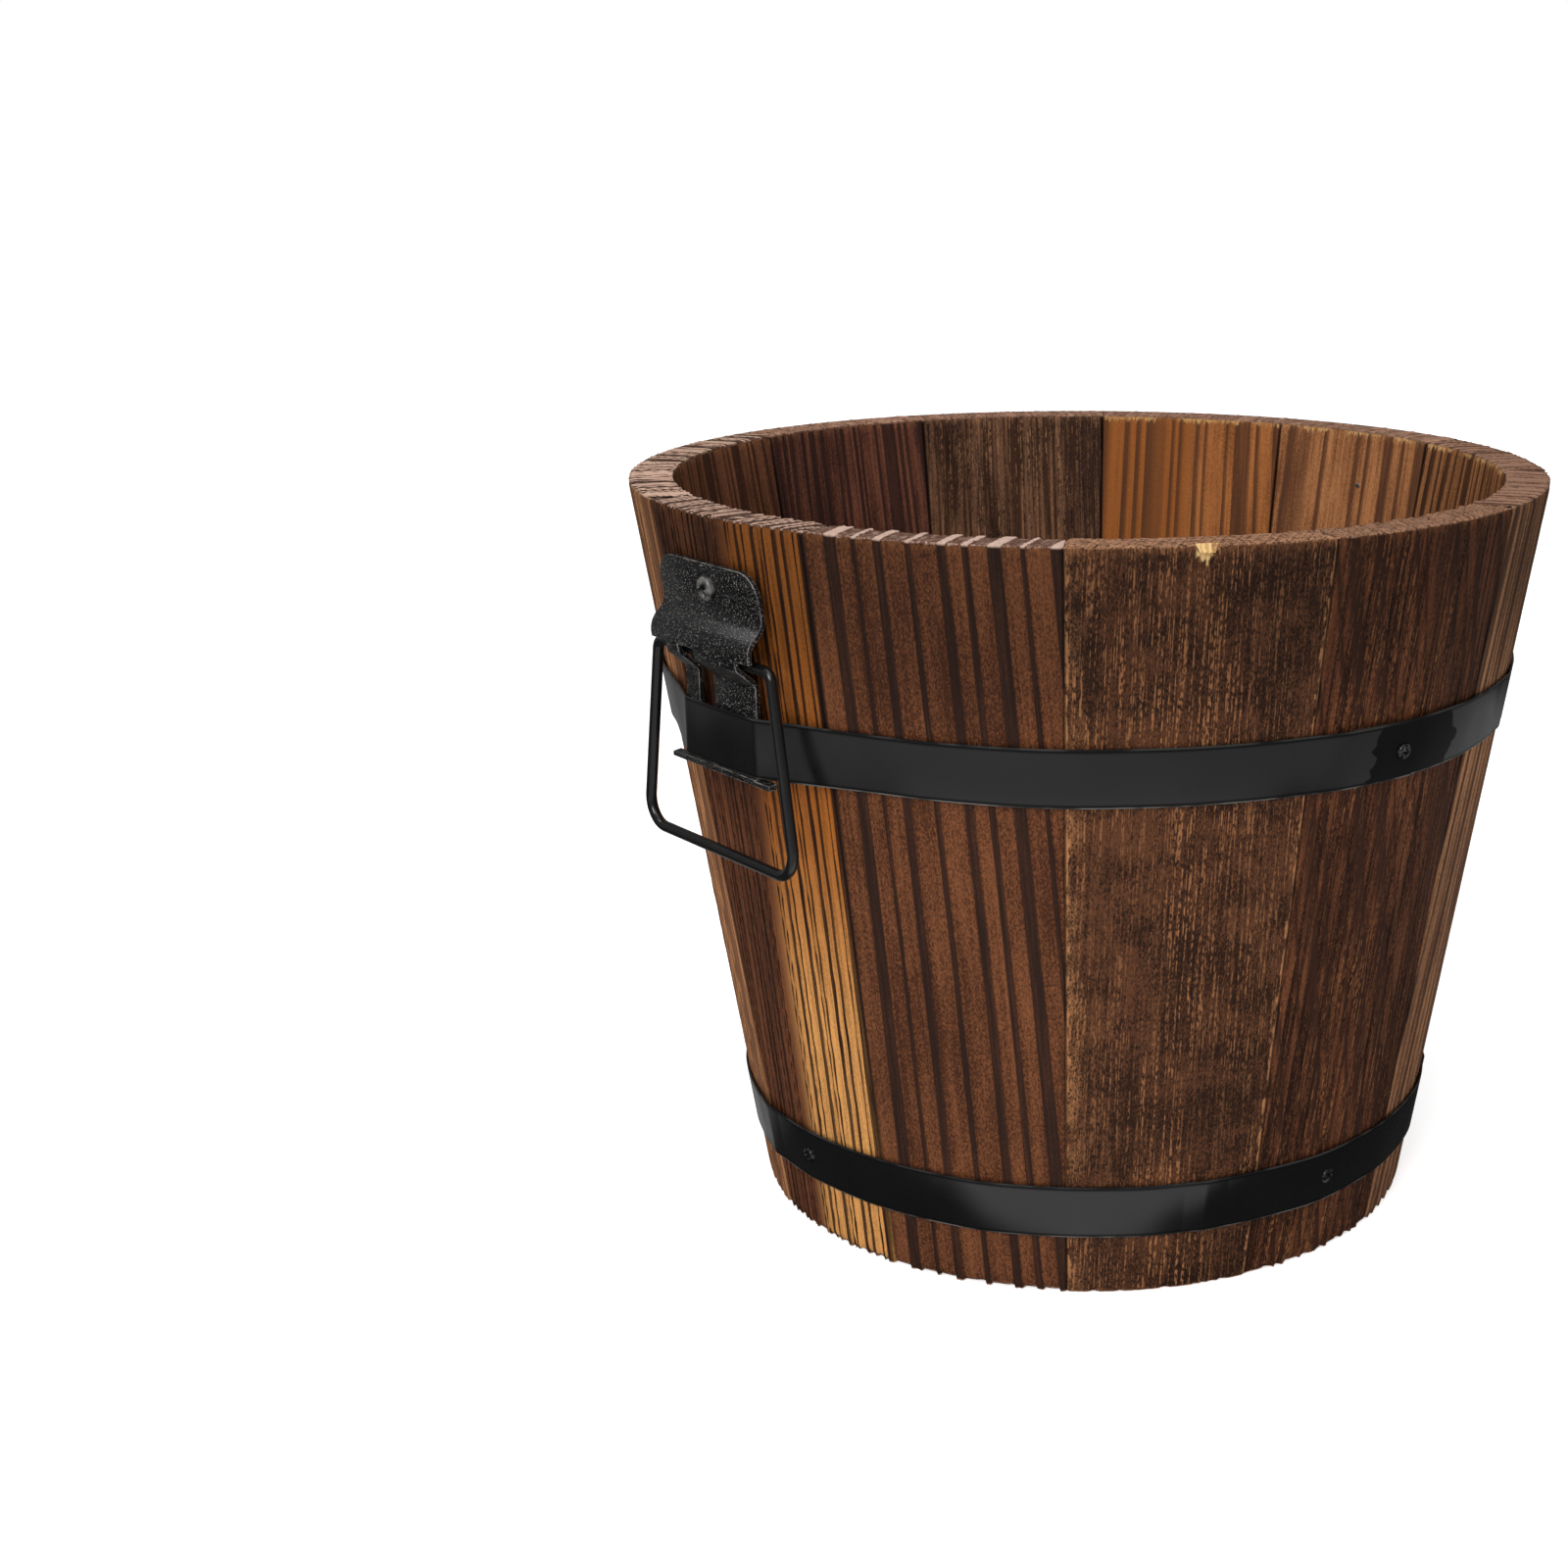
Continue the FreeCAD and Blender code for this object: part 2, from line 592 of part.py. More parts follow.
def make_screw(name, kind, turn, height, seat):
    """A pan-head screw with a cross recess, square to the wall.

    kind names its sizes, and seat is how far off the wall its head sits.
    """
    body = new_body(name)
    section = new_sketch(body, "XY_Plane", f"{name}_section")
    head = f"sizes.{kind}_head"
    rise = f"sizes.{kind}_head_height"
    shank = f"sizes.{kind}_shank"
    tip = f"{seat} - sizes.{kind}_length"
    draw_outline(section, [
        (tip, "0"),
        (f"{seat} + {rise}", "0"),
        (f"{seat} + {rise}", f"{head} / 2", f"sizes.head_round_share * {rise}"),
        (seat, f"{head} / 2"),
        (seat, f"{shank} / 2"),
        (f"{tip} + sizes.point_share * {shank}", f"{shank} / 2"),
    ])
    turned = body.newObject("PartDesign::Revolution", f"{name}_turned")
    turned.Profile = section
    turned.ReferenceAxis = (origin_axis(body, "X_Axis"), [""])
    turned.Angle = FULL_TURN
    cross = new_sketch(body, "YZ_Plane", f"{name}_drive_outline")
    cross.setExpression("AttachmentOffset.Base.z", f"{seat} + {rise}")
    span = f"sizes.{kind}_drive_span / 2"
    slot = f"sizes.{kind}_drive_slot / 2"
    draw_outline(cross, [
        (span, f"-{slot}"),
        (span, slot),
        (slot, slot),
        (slot, span),
        (f"-{slot}", span),
        (f"-{slot}", slot),
        (f"-{span}", slot),
        (f"-{span}", f"-{slot}"),
        (f"-{slot}", f"-{slot}"),
        (f"-{slot}", f"-{span}"),
        (slot, f"-{span}"),
        (slot, f"-{slot}"),
    ])
    drive = body.newObject("PartDesign::Pocket", f"{name}_drive")
    drive.Profile = cross
    drive.Type = "Length"
    drive.setExpression("Length", f"sizes.{kind}_drive_depth")
    stand_on_wall(body, turn, height)
    return body


def make_hoop_screws(name, rise, lap_turn, turns):
    """A hoop's screws as one group: the one at the lap stands on two layers of strap."""
    screws = []
    for number, turn in enumerate(turns, start=1):
        seat = LAP_FRONT if turn == lap_turn else HOOP_FRONT
        screws.append(make_screw(f"{name}_{number}", "hoop_screw", turn, rise, seat))
    group = doc.addObject("Part::Compound", name)
    group.Links = screws
    group.Label = name
    return group


def build():
    """Every sub-part of the pot, in the order in which it is put together."""
    nodes = make_staves()
    nodes.append(make_board("bottom_board_left", BOARD_PLACES["left"]))
    nodes.append(make_drained_board("bottom_board_middle"))
    nodes.append(make_board("bottom_board_right", BOARD_PLACES["right"]))
    nodes.append(make_hoop("lower_hoop", "sizes.lower_hoop_rise", BACK_TURN, ALL_TURNS, ()))
    nodes.append(make_hoop("upper_hoop", UPPER_HOOP_RISE, FRONT_TURN, LAP_TURNS, HANDLE_TURNS))
    nodes.append(make_hoop_screws("lower_hoop_screws", "sizes.lower_hoop_rise", BACK_TURN, ALL_TURNS))
    nodes.append(make_hoop_screws("upper_hoop_screws", UPPER_HOOP_RISE, FRONT_TURN, LAP_TURNS))
    for side, turn in (("left", LEFT_TURN), ("right", RIGHT_TURN)):
        nodes.append(make_bracket(f"{side}_bracket", turn))
        nodes.append(make_screw(f"{side}_bracket_screw", "bracket_screw", turn, SCREW_HEIGHT, PLATE_FRONT))
        nodes.append(make_bail(f"{side}_bail", turn))
    return nodes


def check_document(nodes):
    """Stop on any failed object, on any cut that took nothing away, and on any unsound shape."""
    for item in doc.Objects:
        if "Invalid" in item.State or "Error" in item.State:
            raise RuntimeError(f"{item.Label} failed: {item.State}")
        if item.isDerivedFrom("PartDesign::Pocket"):
            if item.Shape.Volume >= item.BaseFeature.Shape.Volume:
                raise RuntimeError(f"{item.Label} cut nothing")
    for node in nodes:
        if node.Shape.isNull() or not node.Shape.isValid():
            raise RuntimeError(f"{node.Label} has no sound shape")


parts = build()
doc.recompute()
check_document(parts)
os.makedirs("parts", exist_ok=True)
for part in parts:
    part.Shape.exportStep(f"parts/{part.Label}.step")
    print(part.Label, len(part.Shape.Solids), "solids", round(part.Shape.Volume, 1), "cubic mm")
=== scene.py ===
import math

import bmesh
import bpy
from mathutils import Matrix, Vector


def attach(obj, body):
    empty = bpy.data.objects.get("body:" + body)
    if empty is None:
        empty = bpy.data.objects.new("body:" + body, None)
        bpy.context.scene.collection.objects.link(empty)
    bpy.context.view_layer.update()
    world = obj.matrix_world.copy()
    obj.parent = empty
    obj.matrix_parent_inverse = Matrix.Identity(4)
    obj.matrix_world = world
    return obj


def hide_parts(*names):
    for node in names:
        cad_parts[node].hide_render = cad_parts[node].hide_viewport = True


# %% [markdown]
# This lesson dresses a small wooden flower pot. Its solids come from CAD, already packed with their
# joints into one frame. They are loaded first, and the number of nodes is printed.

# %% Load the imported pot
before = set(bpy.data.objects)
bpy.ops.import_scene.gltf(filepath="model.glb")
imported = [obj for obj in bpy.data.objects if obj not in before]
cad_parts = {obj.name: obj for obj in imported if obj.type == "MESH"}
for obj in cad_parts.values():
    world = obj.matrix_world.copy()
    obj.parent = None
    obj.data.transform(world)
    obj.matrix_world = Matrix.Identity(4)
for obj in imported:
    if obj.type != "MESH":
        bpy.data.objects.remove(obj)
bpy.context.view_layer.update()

MM = 0.001
print("nodes carried by the frame:", len(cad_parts))

# %% [markdown]
# The pot is a small coopered tub: twelve tapered staves stand round a bottom of three boards,
# and two black steel hoops hold them. These are the sizes that the staves and hoops share, in
# metres, so that every later step can ask how far the wall is from the axis at a given height.

# %% Sizes of the wall
POT_HEIGHT = 211 * MM
FOOT_RADIUS = 97 * MM
RIM_RADIUS = 130 * MM
WALL_WIDTH = 12.5 * MM
STAVE_SPREAD = math.radians(30)
FIRST_TURN = math.radians(1.3)
SLOPE = (RIM_RADIUS - FOOT_RADIUS) / POT_HEIGHT
TAPER = math.atan(SLOPE)


def wall_radius(height):
    """Radius of the outer wall at a height above the floor."""
    return FOOT_RADIUS + SLOPE * height


print("wall leans out by", round(math.degrees(TAPER), 2), "degrees")

# %% [markdown]
# The picture is taken from a little above the rim, with the left handle turned towards the
# viewer. A camera is placed the same way, and its frame is shifted sideways, because the pot
# stands to the right of the middle.

# %% Camera
camera_data = bpy.data.cameras.new("camera")
camera_data.lens = 53.0
camera_data.sensor_width = 36.0
camera_data.shift_x = -0.15625
camera_data.clip_end = 50
camera = bpy.data.objects.new("camera", camera_data)
camera.location = (-0.4364, -0.4967, 0.3071)
looks_along = Vector((0.6156, 0.7375, -0.2778))
camera.rotation_euler = looks_along.to_track_quat("-Z", "Y").to_euler()
bpy.context.scene.collection.objects.link(camera)
bpy.context.scene.camera = camera
print("camera stands at", tuple(round(value, 3) for value in camera.location))

# %% [markdown]
# Node trees are long to write out link by link. These helpers add one node, feed its inputs in
# their order and hand back the socket that comes out, so a tree reads like a short sum. The same
# sums work in a material and in Geometry Nodes, which is what lets the grain's colour and the
# grain's relief fall on the same line later.

# %% Helpers for node trees


def add(tree, kind, *values, out=0, **settings):
    """Add a node, set its settings, feed its inputs in order, and return one output."""
    node = tree.nodes.new(kind)
    for key, value in settings.items():
        setattr(node, key, value)
    for socket, value in zip(node.inputs, values):
        feed(tree, socket, value)
    return node.outputs[out]


def feed(tree, socket, value):
    """Link a socket to an input, or write a plain value on it."""
    if isinstance(value, bpy.types.NodeSocket):
        tree.links.new(value, socket)
    elif value is not None:
        socket.default_value = value


def named(tree, kind, out=0, settings=None, **values):
    """Add a node whose inputs are fed by name, with spaces written as underscores."""
    node = tree.nodes.new(kind)
    for key, value in (settings or {}).items():
        setattr(node, key, value)
    for key, value in values.items():
        feed(tree, node.inputs[key.replace("_", " ")], value)
    return node.outputs[out]


def calc(tree, operation, *values):
    """One step of arithmetic."""
    return add(tree, "ShaderNodeMath", *values, operation=operation)


def vector(tree, operation, *values, out=0):
    """One step of arithmetic on vectors."""
    return add(tree, "ShaderNodeVectorMath", *values, operation=operation, out=out)


def ease(tree, value, low, high, start=0.0, end=1.0):
    """A smooth step from start to end while the value goes from low to high."""
    smooth = {"interpolation_type": "SMOOTHSTEP"}
    return add(tree, "ShaderNodeMapRange", value, low, high, start, end, **smooth)


def split(tree, place):
    """The three parts of a vector."""
    node = tree.nodes.new("ShaderNodeSeparateXYZ")
    feed(tree, node.inputs[0], place)
    return node.outputs[0], node.outputs[1], node.outputs[2]


print("helpers for sums:", ", ".join(helper.__name__ for helper in (calc, vector, ease, split)))

# %% [markdown]
# Wood, paint and dirt are uneven, and noise makes them so. Pictures could be painted for them, but
# noise is worked out at any place, as fine as it is wanted, and has no seam. Colours are written
# as they look on a screen, and turned into the linear values that Blender works in.

# %% Helpers for noise and colour


def noise(tree, place, stretch, seed, detail=2.0, rough=0.5):
    """Cloudy noise between 0 and 1, stretched by a scale for each direction."""
    moved = vector(tree, "MULTIPLY_ADD", place, stretch, (seed, seed * 0.7, seed * 1.3))
    return add(tree, "ShaderNodeTexNoise", moved, None, 1.0, detail, rough)


def line_noise(tree, value, detail=0.0):
    """Noise between 0 and 1 along a single value."""
    return add(tree, "ShaderNodeTexNoise", None, value, 1.0, detail, noise_dimensions="1D")


def mix(tree, share, one, other):
    """One colour running into another."""
    node = tree.nodes.new("ShaderNodeMix")
    node.data_type = "RGBA"
    feed(tree, node.inputs[0], share)
    feed(tree, node.inputs[6], one)
    feed(tree, node.inputs[7], other)
    return node.outputs[2]


def to_linear(share):
    """One channel of a screen colour, 0 to 1, as linear light."""
    return share / 12.92 if share < 0.04045 else ((share + 0.055) / 1.055) ** 2.4


def colour(red, green, blue):
    """A screen colour, 0 to 255, in the linear values that Blender works in."""
    return (to_linear(red / 255), to_linear(green / 255), to_linear(blue / 255), 1.0)


print("a mid brown in linear light:", [round(part, 3) for part in colour(116, 73, 43)[:3]])

# %% [markdown]
# A finish is a material, and a piece that follows a rule is a Geometry Nodes tree with named
# inputs for its sizes. Each tree ends the same way and is run once for each piece. What comes out
# is kept as a plain mesh, because the part has to carry the shape itself and not its recipe.

# %% Helpers for finishes and pieces


def new_material(name, slot_roughness):
    """An empty node material and its main shader."""
    material = bpy.data.materials.new(name)
    material.use_nodes = True
    shader = material.node_tree.nodes["Principled BSDF"]
    shader.inputs["Roughness"].default_value = slot_roughness
    return material, material.node_tree, shader


def new_tree(name, **inputs):
    """A Geometry Nodes tree with named inputs. A value's kind decides the kind of socket."""
    tree = bpy.data.node_groups.new(name, "GeometryNodeTree")
    tree.interface.new_socket("Geometry", in_out="INPUT", socket_type="NodeSocketGeometry")
    kinds = {float: "NodeSocketFloat", int: "NodeSocketInt", str: "NodeSocketObject"}
    for key, value in inputs.items():
        socket = tree.interface.new_socket(key, in_out="INPUT", socket_type=kinds[type(value)])
        if not isinstance(value, str):
            socket.default_value = value
    tree.interface.new_socket("Geometry", in_out="OUTPUT", socket_type="NodeSocketGeometry")
    source = tree.nodes.new("NodeGroupInput")
    return tree, {socket.name: socket for socket in source.outputs if socket.name}


def shaded(tree, geometry, limit):
    """Smooth shading, with edges that fold by more than a limit left crisp."""
    smooth = named(tree, "GeometryNodeSetShadeSmooth", Geometry=geometry, Shade_Smooth=True)
    sharp = calc(tree, "GREATER_THAN", named(tree, "GeometryNodeInputMeshEdgeAngle"), limit)
    return named(
        tree,
        "GeometryNodeSetShadeSmooth",
        settings={"domain": "EDGE"},
        Geometry=smooth,
        Selection=sharp,
        Shade_Smooth=False,
    )


def finish_tree(tree, geometry, material):
    """End a tree the same way each time: real geometry, one material, out."""
    real = named(tree, "GeometryNodeRealizeInstances", Geometry=geometry)
    done = named(tree, "GeometryNodeSetMaterial", Geometry=real, Material=material)
    target = tree.nodes.new("NodeGroupOutput")
    tree.links.new(done, target.inputs[0])


def make(name, tree, **values):
    """Run a tree once and keep what it makes as a plain mesh object at the origin."""
    holder = bpy.data.objects.new(name + "_maker", bpy.data.meshes.new(name + "_maker"))
    bpy.context.scene.collection.objects.link(holder)
    modifier = holder.modifiers.new("maker", "NODES")
    modifier.node_group = tree
    for item in tree.interface.items_tree:
        if item.item_type == "SOCKET" and item.in_out == "INPUT" and item.name in values:
            modifier[item.identifier] = values[item.name]
    graph = bpy.context.evaluated_depsgraph_get()
    mesh = bpy.data.meshes.new_from_object(
        holder.evaluated_get(graph), preserve_all_data_layers=True, depsgraph=graph
    )
    mesh.name = name
    bpy.data.objects.remove(holder)
    piece = bpy.data.objects.new(name, mesh)
    bpy.context.scene.collection.objects.link(piece)
    return piece


def outline(name, points):
    """A closed flat curve through points, for a tree to sweep."""
    data = bpy.data.curves.new(name, "CURVE")
    line = data.splines.new("POLY")
    line.points.add(len(points) - 1)
    for spot, (x, y) in zip(line.points, points):
        spot.co = (x, y, 0, 1)
    line.use_cyclic_u = True
    piece = bpy.data.objects.new(name, data)
    bpy.context.scene.collection.objects.link(piece)
    return piece


def volume(piece):
    """Volume inside a mesh, negative if it is inside out."""
    work = bmesh.new()
    work.from_mesh(piece.data)
    inside = work.calc_volume(signed=True)
    work.free()
    return inside


print("finishes and trees can be made now")

# %% [markdown]
# Softwood grows a ring a year: a wide pale band of earlywood in spring, then a thin dark band of
# hard latewood. A stave is a slice of that trunk. So the grain is worked out, not painted: a
# place in the wood is measured from the trunk's centre line, the pith, and counted off in rings.
# Where the pith is far to the side, the slice shows straight stripes. Where it lies behind the
# face, the slice shows broad mottled bands.

# %% Growth rings
LATE_FADE = 0.93
LATE_END = 0.97


def growth(tree, place, look):
    """Share of hard latewood at a place (across, depth, along), and a chance value for its ring."""
    across, depth, _ = split(tree, place)
    seed = look["Seed"]
    shift = add(tree, "ShaderNodeCombineXYZ", seed, seed, seed)
    slow = vector(tree, "MULTIPLY_ADD", place, (26.0, 26.0, 5.0), shift)
    wander = add(tree, "ShaderNodeTexNoise", slow, None, 1.0, 1.0, 0.5)
    side = calc(tree, "SUBTRACT", across, look["Pith Side"])
    back = calc(tree, "SUBTRACT", depth, look["Pith Depth"])
    squares = calc(tree, "ADD", calc(tree, "MULTIPLY", side, side), calc(tree, "MULTIPLY", back, back))
    reach = calc(tree, "MULTIPLY_ADD", wander, look["Wander"], calc(tree, "SQRT", squares))
    count = calc(tree, "DIVIDE", reach, look["Ring Width"])
    pace = line_noise(tree, calc(tree, "MULTIPLY_ADD", count, 0.7, seed))
    count = calc(tree, "MULTIPLY_ADD", pace, look["Pace"], count)
    part = calc(tree, "FRACT", count)
    year = calc(tree, "ADD", calc(tree, "FLOOR", count), seed)
    chance = add(tree, "ShaderNodeTexWhiteNoise", None, year, noise_dimensions="1D")
    uneven = calc(tree, "MULTIPLY_ADD", chance, 0.9, 0.55)
    start = calc(tree, "SUBTRACT", LATE_END, calc(tree, "MULTIPLY", look["Late Share"], uneven))
    rise = ease(tree, part, calc(tree, "SUBTRACT", start, look["Softness"]), start)
    fall = ease(tree, part, LATE_FADE, 1.0, 1.0, 0.0)
    return calc(tree, "MULTIPLY", rise, fall), chance


print("latewood ends at", LATE_END, "of its ring")

# %% [markdown]
# The staves were charred and then wire-brushed. The brush takes the soft earlywood away and
# leaves the dark latewood standing as ridges, which is why the pot's foot and rim have a scalloped
# edge. A stave could be planed as a block and carved, but it follows a rule: one section of the
# wall, swept through thirty degrees. Geometry Nodes sweeps it, then sinks the earlywood.

# %% The section of the wall


def steps(first, last, count):
    """Evenly spaced values, the last one left out."""
    return [first + (last - first) * number / count for number in range(count)]


PATH_RADIUS = 0.1
GROOVE_LOW = 13.9 * MM
GROOVE_HIGH = 23.1 * MM
GROOVE_DEEP = 4.0 * MM
END_ROWS = [0.0, 0.3 * MM, 0.8 * MM, 1.6 * MM, 3.0 * MM]
PLAIN_FROM = 5 * MM
PLAIN_TO = POT_HEIGHT - PLAIN_FROM
OUTER_ROWS = 60
INNER_ROWS = 36
RIM_STEPS = 16
FOOT_STEPS = 12


def wall_section():
    """Corner points of the wall's section as (radius, height), anticlockwise from the outer foot."""
    down = list(reversed(END_ROWS))
    outer = END_ROWS + steps(PLAIN_FROM, PLAIN_TO, OUTER_ROWS) + [POT_HEIGHT - row for row in down]
    inner = [POT_HEIGHT - row for row in END_ROWS] + steps(PLAIN_TO, GROOVE_HIGH, INNER_ROWS)
    points = [(wall_radius(height), height) for height in outer]
    points += [(RIM_RADIUS - WALL_WIDTH * share, POT_HEIGHT) for share in steps(0, 1, RIM_STEPS)[1:]]
    points += [(wall_radius(height) - WALL_WIDTH, height) for height in inner]
    for height, deep in ((GROOVE_HIGH, 0), (GROOVE_HIGH, 1), (GROOVE_LOW, 1), (GROOVE_LOW, 0)):
        points.append((wall_radius(height) - WALL_WIDTH + deep * GROOVE_DEEP, height))
    points += [(wall_radius(height) - WALL_WIDTH, height) for height in [9 * MM, PLAIN_FROM] + down]
    points += [(FOOT_RADIUS - WALL_WIDTH * share, 0.0) for share in reversed(steps(0, 1, FOOT_STEPS)[1:])]
    return points


corners = wall_section()
section = outline("wall_section", [(radius - PATH_RADIUS, -height) for radius, height in reversed(corners)])
print("section of the wall has", len(corners), "points")

# %% [markdown]
# One spot of the rim has lost a splinter and shows raw, pale wood. A Boolean could cut it out.
# Here it is a ball with a ragged outline, and one function tells how far a point lies inside it:
# the tree sinks the wood there, and the material paints the same spot pale.

# %% A chip in the rim
CHIP_PLACE = (0.0, 30 * MM, POT_HEIGHT - 1.5 * MM)
CHIP_STRETCH = (0.85, 0.7, 0.75)
CHIP_RAGGED = 3.6 * MM
CHIP_INNER = 3.5 * MM
CHIP_OUTER = 4.4 * MM
CHIP_DEEP = 1.8 * MM


def chipped(tree, grain):
    """Share of the wood knocked off round one spot of the rim's outer edge."""
    apart = vector(tree, "SUBTRACT", grain, CHIP_PLACE)
    ball = vector(tree, "LENGTH", vector(tree, "MULTIPLY", apart, CHIP_STRETCH), out=1)
    ragged = calc(tree, "MULTIPLY_ADD", noise(tree, grain, (900.0, 900.0, 350.0), 8.0), CHIP_RAGGED, ball)
    return ease(tree, ragged, CHIP_INNER, CHIP_OUTER, 1.0, 0.0)


print("the chip is", round(CHIP_DEEP / MM, 1), "mm deep")

# %% [markdown]
# The tree of a stave sweeps the wall's section along an arc of thirty degrees. The arc has many
# short steps, because the relief that follows moves the mesh's own points, and a ridge can be no
# finer than the mesh. A hair's breadth is left open at each seam.

# %% Sweep the section
COLUMNS = 150
SEAM_GAP = math.radians(0.004)
stave_tree, given = new_tree(
    "stave",
    **{
        "Section": "",
        "Turn": 0.0,
        "Lean": 0.0,
        "Ring Width": 0.005,
        "Pith Side": -0.2,
        "Pith Depth": 0.0,
        "Late Share": 0.3,
        "Softness": 0.1,
        "Wander": 0.004,
        "Pace": 1.5,
        "Seed": 1.0,
        "Ridge": 0.0003,
        "Chip": 0.0,
    },
)
tree = stave_tree
half = STAVE_SPREAD / 2 - SEAM_GAP
path = named(
    tree,
    "GeometryNodeCurveArc",
    Resolution=COLUMNS,
    Radius=PATH_RADIUS,
    Start_Angle=calc(tree, "SUBTRACT", given["Turn"], half),
    Sweep_Angle=2 * half,
)
path = named(tree, "GeometryNodeSetCurveNormal", settings={"mode": "Z_UP"}, Curve=path)
shape = named(tree, "GeometryNodeObjectInfo", out=4, Object=given["Section"])
swept = named(tree, "GeometryNodeCurveToMesh", Curve=path, Profile_Curve=shape, Fill_Caps=True)
print("a stave has", COLUMNS, "columns of", len(corners), "points")

# %% [markdown]
# Grain belongs to the board and not to the pot. So each point is turned back until its stave faces
# one way, and its place is stored on the mesh: across the board, into it and along it. A second
# vector stores how far the seam, the rim and the outer face are. The material reads both, so
# that colour and relief can't drift apart.

# %% Places in the wood


def turned_by(tree, value, angles, back=False):
    """A vector turned by three angles, or turned back."""
    kind = {"rotation_type": "EULER_XYZ", "invert": back}
    return add(tree, "ShaderNodeVectorRotate", value, None, None, None, angles, **kind)


def keep(tree, geometry, name, value):
    """Store a vector on the mesh under a name."""
    return named(
        tree,
        "GeometryNodeStoreNamedAttribute",
        settings={"data_type": "FLOAT_VECTOR"},
        Geometry=geometry,
        Name=name,
        Value=value,
    )


place = named(tree, "GeometryNodeInputPosition")
upright = add(tree, "ShaderNodeCombineXYZ", 0.0, 0.0, calc(tree, "MULTIPLY", given["Turn"], -1.0))
out_from_axis, across, height = split(tree, turned_by(tree, place, upright))
leaning = calc(tree, "MULTIPLY_ADD", height, given["Lean"], across)
deep = calc(tree, "SUBTRACT", out_from_axis, PATH_RADIUS)
grain = add(tree, "ShaderNodeCombineXYZ", leaning, deep, height)
radius = vector(tree, "LENGTH", vector(tree, "MULTIPLY", place, (1.0, 1.0, 0.0)), out=1)
inward = calc(tree, "SUBTRACT", calc(tree, "MULTIPLY_ADD", height, SLOPE, FOOT_RADIUS), radius)
half_width = calc(tree, "MULTIPLY", out_from_axis, math.sin(STAVE_SPREAD / 2))
off_middle = calc(tree, "MULTIPLY", calc(tree, "ABSOLUTE", across), math.cos(STAVE_SPREAD / 2))
to_seam = calc(tree, "SUBTRACT", half_width, off_middle)
to_rim = calc(tree, "SUBTRACT", POT_HEIGHT, height)
edges = add(tree, "ShaderNodeCombineXYZ", to_seam, to_rim, inward)
stored = keep(tree, keep(tree, swept, "grain", grain), "edges", edges)
print("each point keeps its place in the wood and its way to the edges")

# %% [markdown]
# The brush sinks the earlywood by some tenths of a millimetre, and more at the foot, where it ran
# off the end. Seams are rounded, and the corners of foot and rim are nibbled. Every point moves
# square to its face and never along the arc, so two staves can't run into each other.

# %% Brushed relief
FOOT_BRUSHED = 2.6
SEAM_ROUND = 0.4 * MM
EDGE_REACH = 2.0 * MM
ROUGHNESS = 0.16 * MM
CRISP_FOLD = 1.1
late, _ = growth(tree, grain, given)
sink = calc(tree, "MULTIPLY", calc(tree, "SUBTRACT", late, 1.0), given["Ridge"])
sink = calc(tree, "MULTIPLY", sink, ease(tree, height, 0.0, 2.5 * MM, FOOT_BRUSHED, 1.0))
seam_round = ease(tree, to_seam, 0.0, 0.9 * MM, -SEAM_ROUND, 0.0)
to_end = calc(tree, "MINIMUM", to_rim, height)
to_face = calc(tree, "MINIMUM", inward, calc(tree, "SUBTRACT", WALL_WIDTH, inward))
near_end = ease(tree, to_end, 0.0, EDGE_REACH, 1.0, 0.0)
near_face = ease(tree, to_face, 0.0, EDGE_REACH, 1.0, 0.0)
nibble = ease(tree, noise(tree, grain, (330.0, 330.0, 330.0), 3.0, 3.0), 0.45, 0.8, -0.2 * MM, -0.9 * MM)
nibble = calc(tree, "MULTIPLY", nibble, calc(tree, "MULTIPLY", near_end, near_face))
rough = calc(tree, "SUBTRACT", noise(tree, grain, (900.0, 900.0, 160.0), 5.0, 2.0), 0.5)
rough = calc(tree, "MULTIPLY", rough, ROUGHNESS)
depth = calc(tree, "ADD", calc(tree, "ADD", sink, seam_round), calc(tree, "ADD", nibble, rough))
chip = calc(tree, "MULTIPLY", chipped(tree, grain), calc(tree, "MULTIPLY", given["Chip"], -CHIP_DEEP))
depth = calc(tree, "ADD", depth, chip)
facing = turned_by(tree, named(tree, "GeometryNodeInputNormal"), upright)
facing = vector(tree, "NORMALIZE", vector(tree, "MULTIPLY", facing, (1.0, 0.0, 1.0)))
facing = turned_by(tree, facing, upright, back=True)
moved = vector(tree, "SCALE", facing, None, None, depth)
relief = named(tree, "GeometryNodeSetPosition", Geometry=stored, Offset=moved)
finish_tree(tree, shaded(tree, relief, CRISP_FOLD), None)
print("stave tree has", len(stave_tree.nodes), "nodes")

# %% [markdown]
# Each stave was cut from another board, so each has its own look: how wide its rings are, where
# its pith lies, how deep the brush went and how dark the flame left it. A look is written as the
# plain default below and what differs for that stave. Keys with a capital are inputs of the tree
# and shape the stave too, the others are for its material. Numbers 06 to 12 face the viewer, and
# of the others the inside is seen over the near rim.

